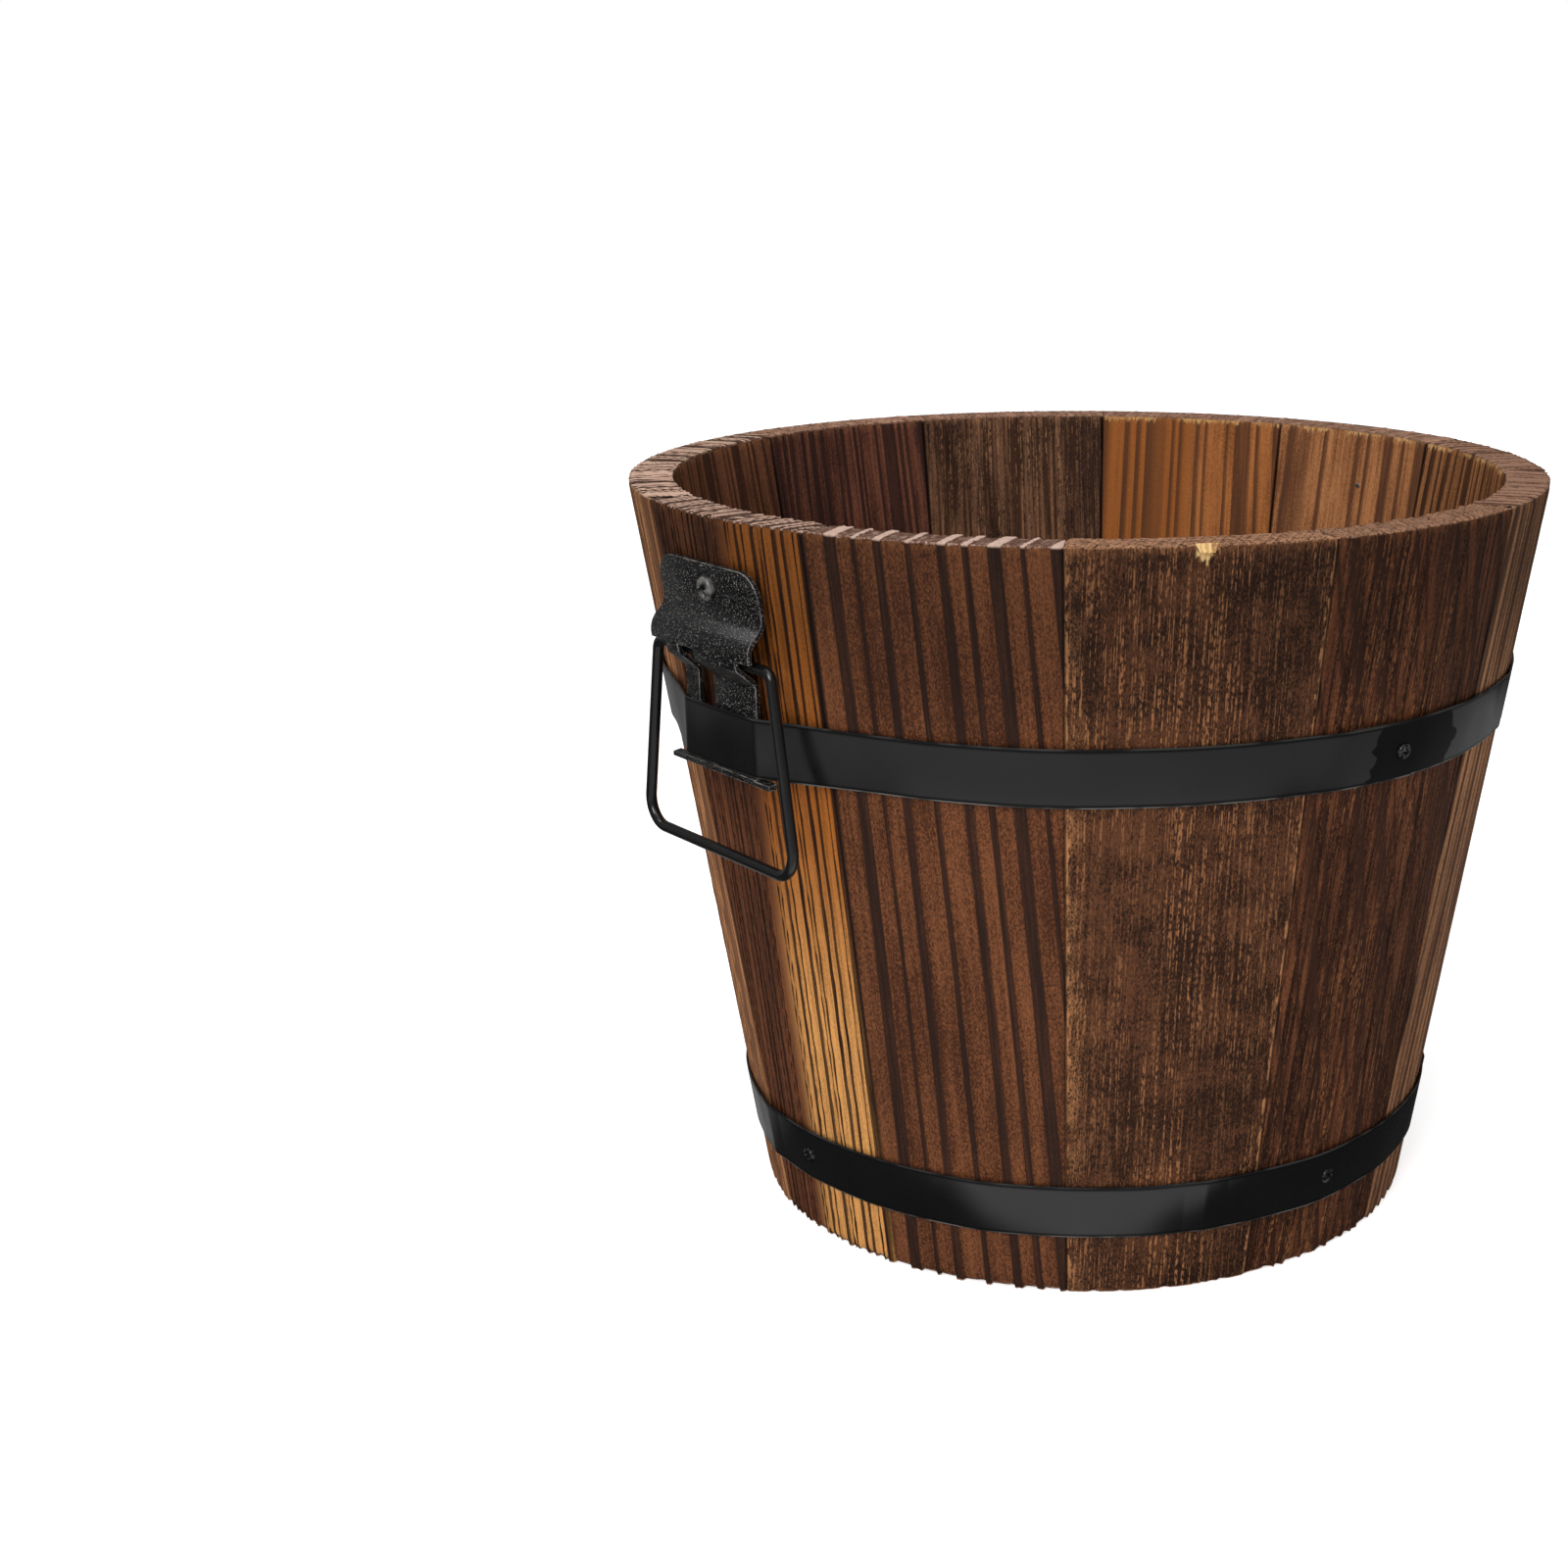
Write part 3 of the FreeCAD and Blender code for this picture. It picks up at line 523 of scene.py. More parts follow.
# %% Looks of the staves
PLAIN = {
    "Lean": 0.0,
    "Ring Width": 4.0 * MM,
    "Pith Side": -0.25,
    "Pith Depth": 0.02,
    "Late Share": 0.3,
    "Softness": 0.12,
    "Wander": 4.0 * MM,
    "Pace": 1.5,
    "Ridge": 0.3 * MM,
    "Chip": 0.0,
    "dark": (68, 40, 25),
    "light": (116, 73, 43),
    "late": (44, 27, 19),
    "inside dark": (84, 52, 33),
    "inside light": (126, 80, 46),
    "inside late": (58, 36, 25),
    "sap": (168, 104, 42),
    "sap low": (190, 136, 74),
    "sap from": 1.0,
    "sap to": 1.1,
    "fleck": (150, 103, 60),
    "flecks": 0.0,
    "worn left": 0.0,
    "splinters": 0.0,
    "pale rim": 0.0,
    "clouds": 0.6,
    "specks": 0.55,
    "fibres": 0.7,
    "bands": 0.45,
    "streaks": 0.0,
    "mottle": 0.0,
    # share by which the outside turns darker towards the top
    "scorch": 0.34,
    "end dark": (82, 54, 41),
    "end light": (168, 128, 105),
    "end pores": 0.5,
    "end lines": 0.3,
    "end bands": 0.3,
}
EDGE_LEAN = 0.0405
LOOKS = {
    1: {
        "Ring Width": 8.5 * MM,
        "Late Share": 0.22,
        "Softness": 0.3,
        "clouds": 0.9,
        "inside dark": (108, 66, 40),
        "inside light": (178, 120, 76),
        "inside late": (86, 54, 37),
        "pale rim": 0.8,
    },
    2: {
        "Ring Width": 5.2 * MM,
        "Late Share": 0.2,
        "Softness": 0.4,
        "clouds": 0.9,
        "inside dark": (112, 66, 36),
        "inside light": (170, 106, 58),
        "inside late": (84, 52, 34),
        "pale rim": 0.8,
        "sap": (152, 90, 42),
        "sap low": (152, 90, 42),
        "sap from": -2 * MM,
        "sap to": 3 * MM,
    },
    3: {
        "Ring Width": 3.0 * MM,
        "Softness": 0.3,
        "clouds": 0.9,
        "mottle": 0.4,
        "fleck": (160, 118, 82),
        "flecks": 0.6,
        "inside dark": (42, 28, 23),
        "inside light": (118, 82, 60),
    },
    4: {
        "Ring Width": 4.2 * MM,
        "Softness": 0.35,
        "clouds": 1.0,
        "inside dark": (58, 34, 28),
        "inside light": (112, 68, 50),
        "inside late": (48, 30, 26),
    },
    5: {
        "Ring Width": 5.0 * MM,
        "clouds": 1.0,
        "inside dark": (70, 42, 30),
        "inside light": (118, 74, 50),
        "end dark": (66, 44, 33),
        "end light": (184, 152, 132),
        "end bands": 1.2,
    },
    6: {
        "Ring Width": 2.8 * MM,
        "Lean": -EDGE_LEAN,
        "dark": (132, 88, 56),
        "light": (172, 122, 82),
        "late": (96, 60, 38),
        "end dark": (60, 40, 30),
        "end light": (198, 164, 144),
        "end pores": 0.25,
        "end bands": 1.6,
    },
    7: {
        "Ring Width": 2.7 * MM,
        "Lean": -EDGE_LEAN,
        "Late Share": 0.26,
        "Ridge": 0.4 * MM,
        "Wander": 2.0 * MM,
        "dark": (66, 38, 25),
        "light": (106, 62, 36),
        "late": (36, 20, 13),
        "sap": (152, 88, 33),
        "sap low": (198, 141, 79),
        "sap from": -7 * MM,
        "sap to": 3 * MM,
        "scorch": 0.5,
        "end dark": (66, 46, 37),
        "end light": (178, 146, 128),
        "end pores": 0.3,
        "end bands": 1.3,
    },
    8: {
        "Ring Width": 7.2 * MM,
        "Lean": EDGE_LEAN,
        "Late Share": 0.32,
        "Softness": 0.06,
        "Wander": 2.0 * MM,
        "Pace": 0.6,
        "Ridge": 0.5 * MM,
        "dark": (60, 33, 20),
        "light": (114, 69, 42),
        "late": (40, 25, 20),
        "fibres": 0.3,
        "specks": 0.9,
        "clouds": 0.45,
        "streaks": 0.25,
        "end dark": (94, 65, 50),
        "end light": (200, 170, 154),
        "end bands": 1.1,
    },
    9: {
        "Ring Width": 400 * MM,
        "Late Share": 0.1,
        "Pace": 0.0,
        "Ridge": 0.1 * MM,
        "Chip": 1.0,
        "dark": (38, 22, 14),
        "light": (85, 52, 33),
        "late": (42, 28, 20),
        "fleck": (168, 114, 74),
        "flecks": 0.62,
        "bands": 0.1,
        "fibres": 0.5,
        "specks": 1.1,
        "streaks": 0.2,
        "mottle": 0.8,
        "worn left": 1.0,
        "splinters": 0.7,
        "clouds": 0.3,
        "end dark": (80, 53, 38),
        "end light": (170, 125, 94),
        "end pores": 1.4,
        "end lines": 0.5,
        "end bands": 0.0,
    },
    10: {
        "Ring Width": 3.6 * MM,
        "Pith Depth": -0.16,
        "Pith Side": -0.12,
        "Late Share": 0.24,
        "Softness": 0.25,
        "Wander": 2.0 * MM,
        "dark": (36, 19, 12),
        "light": (91, 52, 31),
        "late": (50, 28, 19),
        "fibres": 0.5,
        "specks": 0.8,
        "streaks": 1.0,
        "fleck": (150, 98, 58),
        "flecks": 0.5,
        "end dark": (80, 53, 38),
        "end light": (160, 119, 92),
        "end pores": 1.4,
        "end lines": 0.8,
        "end bands": 0.1,
    },
    11: {
        "Ring Width": 4.6 * MM,
        "Late Share": 0.35,
        "Softness": 0.2,
        "dark": (92, 60, 40),
        "light": (150, 106, 72),
        "late": (66, 43, 31),
        "streaks": 0.7,
        "end pores": 1.0,
        "end bands": -1.1,
        "end lines": 0.5,
        "end light": (146, 111, 90),
    },
    12: {
        "Ring Width": 4.4 * MM,
        "inside dark": (92, 58, 36),
        "inside light": (148, 98, 60),
        "pale rim": 0.8,
        "end pores": 1.0,
        "end bands": -1.1,
        "end lines": 0.5,
        "end light": (146, 111, 90),
    },
}

print("looks written for", len(LOOKS), "staves")

# %% [markdown]
# The wood's material asks for the same rings as the relief. Earlywood runs between a dark and a
# light brown, and a sum of noises moves it between the two: fibres and streaks along the stave,
# specks, clouds of char and broad bands. A picture of wood could be wrapped round instead, but
# then all staves would be cut from the same board.

# %% Noises of the wood
LAYERS = {
    "fibres": ("lay", (1000.0, 1000.0, 30.0), 4.0, 0.65, 0.3),
    "clouds": ("grain", (38.0, 38.0, 12.0), 4.0, 0.6, 0.25),
    "specks": ("grain", (2300.0, 2300.0, 1100.0), 2.0, 0.7, 0.3),
    "bands": ("grain", (130.0, 130.0, 4.0), 2.0, 0.5, 0.25),
    "streaks": ("lay", (900.0, 900.0, 4.0), 2.0, 0.5, 0.3),
    "mottle": ("lay", (55.0, 55.0, 75.0), 3.0, 0.6, 0.3),
}


def stand(tree, place, near):
    """Where a point stands in its board: the stored vectors, their parts, and its share of the inside.

    lay is the grain's place with the wall's lean taken out, so that a fibre stays on the face.
    """
    grain = place(tree)
    across, deep, along = split(tree, grain)
    to_seam, to_rim, inward = split(tree, near(tree))
    upright = calc(tree, "MULTIPLY_ADD", along, -SLOPE, deep)
    return {
        "grain": grain,
        "lay": add(tree, "ShaderNodeCombineXYZ", across, upright, along),
        "across": across,
        "deep": deep,
        "along": along,
        "to seam": to_seam,
        "to rim": to_rim,
        "inside": ease(tree, inward, 7 * MM, 10 * MM),
    }


def layers(tree, at, seed):
    """The noises of the wood by name, each spread to fill 0 to 1, and two more for its wear."""
    parts = {}
    for name, (place, stretch, detail, rough, low) in LAYERS.items():
        parts[name] = ease(tree, noise(tree, at[place], stretch, seed, detail, rough), low, 1.0 - low)
    patches = noise(tree, at["grain"], (160.0, 160.0, 60.0), seed + 2.0, 3.0, 0.6)
    parts["patches"] = ease(tree, patches, 0.35, 0.65)
    torn = noise(tree, at["lay"], (900.0, 900.0, 260.0), seed, 3.0, 0.6)
    parts["torn"] = calc(tree, "SUBTRACT", torn, 0.5)
    return parts


print("noises in a stave's wood:", ", ".join(LAYERS))

# %% [markdown]
# Latewood is darker than earlywood, and sapwood, which lay under the bark, is orange. A stave is
# charred outside only, so each colour has a second one for the inside of the pot. One long colour
# ramp could hold them all. Mixing them by masks keeps them apart, so that one can be changed alone.

# %% Colours of the face
SAP_LOW = 60 * MM
SAP_HIGH = 140 * MM


def weigh(tree, start, parts):
    """A start value moved up and down by parts from 0 to 1, each with its weight."""
    for part, weight in parts:
        start = calc(tree, "MULTIPLY_ADD", calc(tree, "SUBTRACT", part, 0.5), weight, start)
    return start


def fresh_face(tree, look, at, parts, late, chance):
    """The face of a stave without its wear."""
    both = {}
    for name in ("dark", "light", "late"):
        both[name] = mix(tree, at["inside"], colour(*look[name]), colour(*look["inside " + name]))
    tone = weigh(tree, 0.5, [(chance, 0.3)] + [(parts[name], look[name]) for name in LAYERS])
    early = mix(tree, tone, both["dark"], both["light"])
    bark = ease(tree, at["across"], look["sap from"], look["sap to"])
    raised = ease(tree, at["along"], SAP_LOW, SAP_HIGH)
    sap = mix(tree, raised, colour(*look["sap low"]), colour(*look["sap"]))
    grainy = calc(tree, "MULTIPLY_ADD", parts["fibres"], 0.5, -0.25)
    grainy = calc(tree, "MULTIPLY_ADD", parts["specks"], 0.35, grainy)
    early = mix(tree, bark, early, mix(tree, grainy, sap, both["dark"]))
    hard = calc(tree, "MULTIPLY", late, ease(tree, parts["fibres"], 0.0, 1.0, 1.0, 0.8))
    return mix(tree, hard, early, both["late"])


print("sapwood changes its tone from", round(SAP_LOW / MM), "to", round(SAP_HIGH / MM), "mm up")

# %% [markdown]
# Handling and brushing wear a pot where it stands out. The arris of a stave turns pale and loses
# splinters, the brush leaves short bright flecks along the fibres, dirt lines the seams, and the
# outside turns darker towards the top. Each is a mask that mixes one more colour over the face.

# %% Wear of the face
WORN_WOOD = colour(174, 121, 79)
SPLIT_WOOD = colour(204, 160, 104)
SEAM_DIRT = colour(16, 10, 8)
# black that the outside is mixed towards near the top
TOP_DARKENING_BLACK = colour(0, 0, 0)


def worn_edges(tree, look, at, parts, face):
    """A worn left arris, and splinters lost at both arrises."""
    left = calc(tree, "MULTIPLY", calc(tree, "LESS_THAN", at["across"], 0.0), look["worn left"])
    worn = calc(tree, "MULTIPLY", left, ease(tree, at["to seam"], 0.3 * MM, 7.0 * MM, 0.48, 0.0))
    worn = calc(tree, "MULTIPLY", worn, calc(tree, "MULTIPLY", parts["specks"], parts["patches"]))
    ragged = calc(tree, "MULTIPLY_ADD", parts["torn"], 5 * MM, at["to seam"])
    worn = calc(tree, "MAXIMUM", worn, ease(tree, ragged, 0.4 * MM, 1.0 * MM, look["splinters"], 0.0))
    return mix(tree, worn, face, WORN_WOOD)


def flecked(tree, look, at, late, face):
    """Short bright flecks: fine lines, broken into beads, gathered in places, and more near the rim."""
    seed = look["Seed"]
    line = ease(tree, noise(tree, at["lay"], (2100.0, 2100.0, 45.0), seed + 1.0, 0.0), 0.52, 0.64)
    bead = ease(tree, noise(tree, at["lay"], (1700.0, 1700.0, 600.0), seed, 2.0), 0.42, 0.6)
    gathered = ease(tree, noise(tree, at["lay"], (60.0, 60.0, 14.0), seed + 3.0), 0.35, 0.65, 0.2, 1.0)
    gathered = calc(tree, "MULTIPLY", gathered, look["flecks"])
    bright = calc(tree, "MULTIPLY", calc(tree, "MULTIPLY", line, bead), gathered)
    face = mix(tree, bright, face, colour(*look["fleck"]))
    short = ease(tree, noise(tree, at["grain"], (1900.0, 1900.0, 380.0), seed, 3.0, 0.8), 0.4, 0.62)
    arris = calc(tree, "MULTIPLY", ease(tree, at["to rim"], 0.5 * MM, 3.5 * MM, 0.35, 0.0), short)
    arris = calc(tree, "MULTIPLY", arris, calc(tree, "SUBTRACT", 1.0, late))
    return mix(tree, arris, face, colour(*look["fleck"]))


def marked(tree, look, at, parts, face):
    """Splinters lost at the rim's inner lip, dirt in the seams, and the outside darker towards the top."""
    to_lip = calc(tree, "MULTIPLY_ADD", parts["torn"], 7 * MM, at["to rim"])
    lip = ease(tree, to_lip, 0.8 * MM, 1.8 * MM, look["pale rim"], 0.0)
    lip = calc(tree, "MULTIPLY", calc(tree, "MULTIPLY", at["inside"], lip), parts["patches"])
    face = mix(tree, lip, face, SPLIT_WOOD)
    face = mix(tree, ease(tree, at["to seam"], 0.2 * MM, 0.7 * MM, 0.8, 0.0), face, SEAM_DIRT)
    # the outside turns darker towards the top, mixing towards black
    outside = calc(tree, "SUBTRACT", 1.0, at["inside"])
    scorch = ease(tree, at["along"], 145 * MM, 190 * MM, 0.0, look["scorch"])
    return mix(tree, calc(tree, "MULTIPLY", outside, scorch), face, TOP_DARKENING_BLACK)


print("worn wood in linear light:", [round(part, 3) for part in WORN_WOOD[:3]])

# %% [markdown]
# The sawn ends at rim and foot cut across the fibres: grey-brown and porous, with the rings' ends
# showing as slanting stripes. The last function puts the face, its wear and the ends together, and
# a little bump lets the fibres catch the light. Charred wood has next to no shine.

# %% The whole wood
RAW_DARK = colour(150, 106, 56)
RAW_LIGHT = colour(222, 188, 132)


def sawn_ends(tree, look, at, late, face):
    """The sawn ends, laid over the face at rim and foot."""
    seed = look["Seed"]
    coarse = ease(tree, noise(tree, at["grain"], (800.0, 240.0, 400.0), seed, 3.0, 0.7), 0.3, 0.7)
    pores = ease(tree, noise(tree, at["grain"], (1100.0, 1100.0, 1100.0), seed, 2.0, 0.8), 0.3, 0.7)
    slant = calc(tree, "MULTIPLY_ADD", at["deep"], 0.5, at["across"])
    lines = line_noise(tree, calc(tree, "MULTIPLY_ADD", slant, 1300.0, seed), 1.0)
    paler = weigh(
        tree,
        0.6,
        (
            (pores, look["end pores"]),
            (ease(tree, lines, 0.35, 0.65), look["end lines"]),
            (ease(tree, late, 0.5, 1.0), look["end bands"]),
            (coarse, 0.7),
        ),
    )
    sawn = mix(tree, paler, colour(*look["end dark"]), colour(*look["end light"]))
    rim = ease(tree, at["to rim"], 0.1 * MM, 1.0 * MM, 1.0, 0.0)
    foot = ease(tree, at["along"], 0.1 * MM, 0.8 * MM, 1.0, 0.0)
    return mix(tree, calc(tree, "MAXIMUM", rim, foot), face, sawn)


def wood(name, look, place, near):
    """A wood material. place and near are made by functions, since each tree needs its own sockets."""
    material, tree, shader = new_material(name, 0.62)
    at = stand(tree, place, near)
    late, chance = growth(tree, at["grain"], look)
    parts = layers(tree, at, look["Seed"])
    face = fresh_face(tree, look, at, parts, late, chance)
    face = worn_edges(tree, look, at, parts, face)
    face = flecked(tree, look, at, late, face)
    face = marked(tree, look, at, parts, face)
    face = sawn_ends(tree, look, at, late, face)
    if look["Chip"]:
        face = mix(tree, chipped(tree, at["grain"]), face, mix(tree, parts["fibres"], RAW_DARK, RAW_LIGHT))
    feed(tree, shader.inputs["Base Color"], face)
    shader.inputs["Specular IOR Level"].default_value = 0.07
    height = calc(tree, "MULTIPLY_ADD", late, 0.5, parts["specks"])
    height = calc(tree, "ADD", calc(tree, "MULTIPLY", parts["fibres"], 0.5), height)
    bump = named(tree, "ShaderNodeBump", Strength=0.5, Distance=0.25 * MM, Height=height)
    feed(tree, shader.inputs["Normal"], bump)
    return material


def kept(name):
    """A function that reads a stored attribute in a material's tree."""
    return lambda tree: named(tree, "ShaderNodeAttribute", out=1, settings={"attribute_name": name})


print("the wood is ready to be given out")

# %% [markdown]
# Now the tree runs once for each stave. A cooper raises the staves inside a hoop, side by side,
# and the script does the same by turning each one thirty degrees further. The tree's inputs and
# the material are fed from one look, so a ridge and its dark stripe come from the same numbers.

# %% Make the twelve staves
for number in range(1, 13):
    look = {**PLAIN, **LOOKS[number], "Seed": 3.7 * number}
    name = "stave_%02d" % number
    values = {key: value for key, value in look.items() if key[0].isupper()}
    turn = FIRST_TURN + STAVE_SPREAD * (number - 1)
    piece = make("wood_" + name, stave_tree, Section=section, Turn=turn, **values)
    piece.data.materials.clear()
    piece.data.materials.append(wood("charred_" + name, look, kept("grain"), kept("edges")))
    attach(piece, "pot")
    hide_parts(name)
    if number == 1:
        print("a stave has", len(piece.data.polygons), "faces")
        print("its volume is", round(volume(piece) * 1e6, 1), "cubic cm")
bpy.data.objects.remove(section)

# %% [markdown]
# The bottom is three plain boards in a groove. They keep their CAD shape and only take the same
# kind of wood, with the grain lying along them.

# %% Bottom boards


def board_place(tree):
    """Board coordinates: across, depth and along, from the object's own coordinates."""
    x, y, z = split(tree, named(tree, "ShaderNodeTexCoord", out=3))
    return add(tree, "ShaderNodeCombineXYZ", x, z, calc(tree, "ADD", y, 1.0))


def far_from_edges(tree):
    """Boards have no rim or seam to wear, so every edge is called far away."""
    return add(tree, "ShaderNodeCombineXYZ", 1.0, 1.0, 0.02)


for number, side in enumerate(("left", "middle", "right")):
    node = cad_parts["bottom_board_" + side]
    look = {**PLAIN, "Seed": 60.0 + number * 5, "Ring Width": 5.0 * MM}
    node.data.materials.clear()
    node.data.materials.append(wood("board_wood_" + side, look, board_place, far_from_edges))
print("bottom boards given their wood")

# %% [markdown]
# Both hoops are strips of thin steel painted black. A strip is rolled into a ring, its end lapped
# over its start, and screwed to the wall. The upper one is pushed out where it passes over the
# handles' necks. The strip is swept along that ring, then leaned to lie on the wall.

# %% The ring of a hoop
HOOP_WIDTH = 16 * MM
HOOP_THICK = 0.7 * MM
HOOP_GAP = 0.1 * MM
FLANK = math.radians(25)
FLAT = math.radians(7.5)
LAP_RAMP = 0.12
DENT_HIGH = 0.6 * MM
KINK_HIGH = 0.5 * MM
KINK_REACH = 0.06
hoop_tree, given = new_tree(
    "hoop",
    **{
        "Radius": 0.12,
        "Height": 0.15,
        "Start": 0.0,
        "Lap": 0.1,
        "Front": 0.0,
        "Seed": 1.0,
        "Kink One": 0.0,
        "Kink Two": 0.0,
        "Kink Three": 0.0,
    },
)
tree = hoop_tree
sweep = calc(tree, "ADD", given["Lap"], 2 * math.pi)
path = named(
    tree, "GeometryNodeCurveArc", Resolution=1440, Radius=1.0, Start_Angle=given["Start"], Sweep_Angle=sweep
)
along = calc(tree, "MULTIPLY", named(tree, "GeometryNodeSplineParameter"), sweep)
turn = calc(tree, "ADD", along, given["Start"])
over = ease(tree, along, 2 * math.pi - LAP_RAMP, 2 * math.pi, 0.0, HOOP_THICK + HOOP_GAP)
ring = calc(tree, "ADD", given["Radius"], over)
x = calc(tree, "COSINE", turn)
y = calc(tree, "SINE", turn)
off = calc(tree, "ARCTAN2", calc(tree, "ABSOLUTE", y), calc(tree, "ABSOLUTE", x))
flat_front = calc(tree, "DIVIDE", given["Front"], calc(tree, "COSINE", off))
flank = calc(tree, "DIVIDE", given["Radius"], calc(tree, "COSINE", calc(tree, "SUBTRACT", off, FLANK)))
bulge = calc(tree, "MINIMUM", flat_front, flank)
bulge = calc(tree, "MULTIPLY", bulge, calc(tree, "LESS_THAN", off, FLANK))
ring = calc(tree, "MAXIMUM", ring, bulge)
wave = line_noise(tree, calc(tree, "MULTIPLY_ADD", turn, 2.2, given["Seed"]), 1.0)
ring = calc(tree, "ADD", ring, ease(tree, wave, 0.4, 0.75, 0.0, DENT_HIGH))
for key in ("Kink One", "Kink Two", "Kink Three"):
    past = calc(tree, "WRAP", calc(tree, "SUBTRACT", turn, given[key]), -math.pi, math.pi)
    past = calc(tree, "ABSOLUTE", past)
    ring = calc(tree, "ADD", ring, add(tree, "ShaderNodeMapRange", past, 0.0, KINK_REACH, KINK_HIGH, 0.0))
ring_x = calc(tree, "MULTIPLY", x, ring)
ring_y = calc(tree, "MULTIPLY", y, ring)
spot = add(tree, "ShaderNodeCombineXYZ", ring_x, ring_y, given["Height"])
path = named(tree, "GeometryNodeSetPosition", Geometry=path, Position=spot)
path = named(tree, "GeometryNodeSetCurveNormal", settings={"mode": "Z_UP"}, Curve=path)
print("a hoop's end rides up by", round((HOOP_THICK + HOOP_GAP) / MM, 2), "mm")

# %% [markdown]
# The strap's section is a thin rectangle with rounded corners. Swept along the ring it stands
# plumb. It could be tilted at every step of the ring, but it is simpler to lean the whole strap
# afterwards to the wall's slope, except where it bulges over a handle's neck.

# %% The strap of a hoop
STRAP_ROUND = 0.28 * MM
STRAP_FOLD = 0.9
strip = named(
    tree, "GeometryNodeCurvePrimitiveQuadrilateral", Width=HOOP_THICK, Height=HOOP_WIDTH * math.cos(TAPER)
)
strip = named(
    tree,
    "GeometryNodeFilletCurve",
    settings={"mode": "POLY"},
    Curve=strip,
    Count=3,
    Radius=STRAP_ROUND,
    Limit_Radius=True,
)
swept = named(tree, "GeometryNodeCurveToMesh", Curve=path, Profile_Curve=strip, Fill_Caps=True)
place = named(tree, "GeometryNodeInputPosition")
px, py, pz = split(tree, place)
away = vector(tree, "NORMALIZE", vector(tree, "MULTIPLY", place, (1.0, 1.0, 0.0)))
off = calc(tree, "ARCTAN2", calc(tree, "ABSOLUTE", py), calc(tree, "ABSOLUTE", px))
bulges = calc(tree, "GREATER_THAN", given["Front"], 0.0)
plumb = calc(tree, "MULTIPLY", ease(tree, off, FLAT, FLANK, 1.0, 0.0), bulges)
lean = calc(tree, "MULTIPLY", calc(tree, "SUBTRACT", pz, given["Height"]), SLOPE)
lean = calc(tree, "MULTIPLY", lean, calc(tree, "SUBTRACT", 1.0, plumb))
leaned = vector(tree, "SCALE", away, None, None, lean)
leaned = named(tree, "GeometryNodeSetPosition", Geometry=swept, Offset=leaned)
leaned = shaded(tree, leaned, STRAP_FOLD)
print("hoop tree has", len(hoop_tree.nodes), "nodes")

# %% [markdown]
# The hoops are brushed with black paint. It lies thick and dull round the lap's screw, shines on
# the flat of the strap, and is rubbed off along the edges, where the grey steel shows. Most of that
# grey lies on the lower edge, where it is also a painted highlight, the thin light line that the
# edge catches. All of it follows from where a point lies on the pot, so nothing has to be
# unwrapped and painted by hand.

# %% Black paint on the hoops
UPPER_RISE = 152.24 * MM
LOWER_RISE = 26.4 * MM
BETWEEN_HOOPS = 0.1
BLOT_TURN = math.radians(-87.5)
BLOT_WOBBLE = 0.16
# grey of bare steel, also used as a painted highlight along the strap's lower edge
BARE_STEEL_AND_HIGHLIGHT = colour(104, 102, 99)
strap_paint, paint, shader = new_material("strap_paint", 0.34)
place = named(paint, "ShaderNodeTexCoord", out=3)
px, py, pz = split(paint, place)
bearing = calc(paint, "ARCTAN2", py, px)
blot = noise(paint, place, (90.0, 90.0, 140.0), 7.0, 2.0)
apart = calc(paint, "ABSOLUTE", calc(paint, "SUBTRACT", bearing, BLOT_TURN))
apart = calc(paint, "MULTIPLY_ADD", calc(paint, "SUBTRACT", blot, 0.5), BLOT_WOBBLE, apart)
upper = calc(paint, "GREATER_THAN", pz, BETWEEN_HOOPS)
thick = calc(paint, "MULTIPLY", ease(paint, apart, 0.12, 0.135, 1.0, 0.0), upper)
middle = calc(paint, "MULTIPLY_ADD", upper, UPPER_RISE - LOWER_RISE, LOWER_RISE)
above = calc(paint, "SUBTRACT", pz, middle)
to_middle = calc(paint, "ABSOLUTE", above)
dulled = calc(paint, "MAXIMUM", thick, ease(paint, to_middle, 6.3 * MM, 7.3 * MM, 0.0, 0.8))
feed(paint, shader.inputs["Specular IOR Level"], ease(paint, dulled, 0.0, 1.0, 0.5, 0.04))
tint = mix(paint, noise(paint, place, (60.0, 60.0, 60.0), 2.0, 4.0), colour(9, 9, 10), colour(16, 16, 17))
rubbed = ease(paint, blot, 0.4, 0.6, 0.1, 0.7)
# grey on the strap's edges: bare steel, and on the lower edge also a painted highlight
bare = calc(paint, "MULTIPLY", ease(paint, to_middle, 7.35 * MM, 7.6 * MM), rubbed)
bare = calc(paint, "MULTIPLY", bare, ease(paint, above, -MM, MM, 1.0, 0.25))
feed(paint, shader.inputs["Base Color"], mix(paint, bare, tint, BARE_STEEL_AND_HIGHLIGHT))
uneven = noise(paint, place, (40.0, 40.0, 40.0), 4.0, 3.0)
feed(paint, shader.inputs["Roughness"], ease(paint, uneven, 0.3, 0.7, 0.2, 0.32))
finish_tree(hoop_tree, leaned, strap_paint)
print("paint on the hoops has", len(paint.nodes), "nodes")

# %% [markdown]
# Both hoops come out of one tree. The upper one is lapped in front and bulges over the necks, the
# lower one is lapped at the back. Each has its own dents and three kinks, as a strip has that was
# bent by hand.

# %% Make the hoops
LAP_LENGTH = 22 * MM
LAP_PAST_SCREW = 4.6 * MM
BULGE_FRONT = 126.2 * MM
NO_BULGE = 0.0


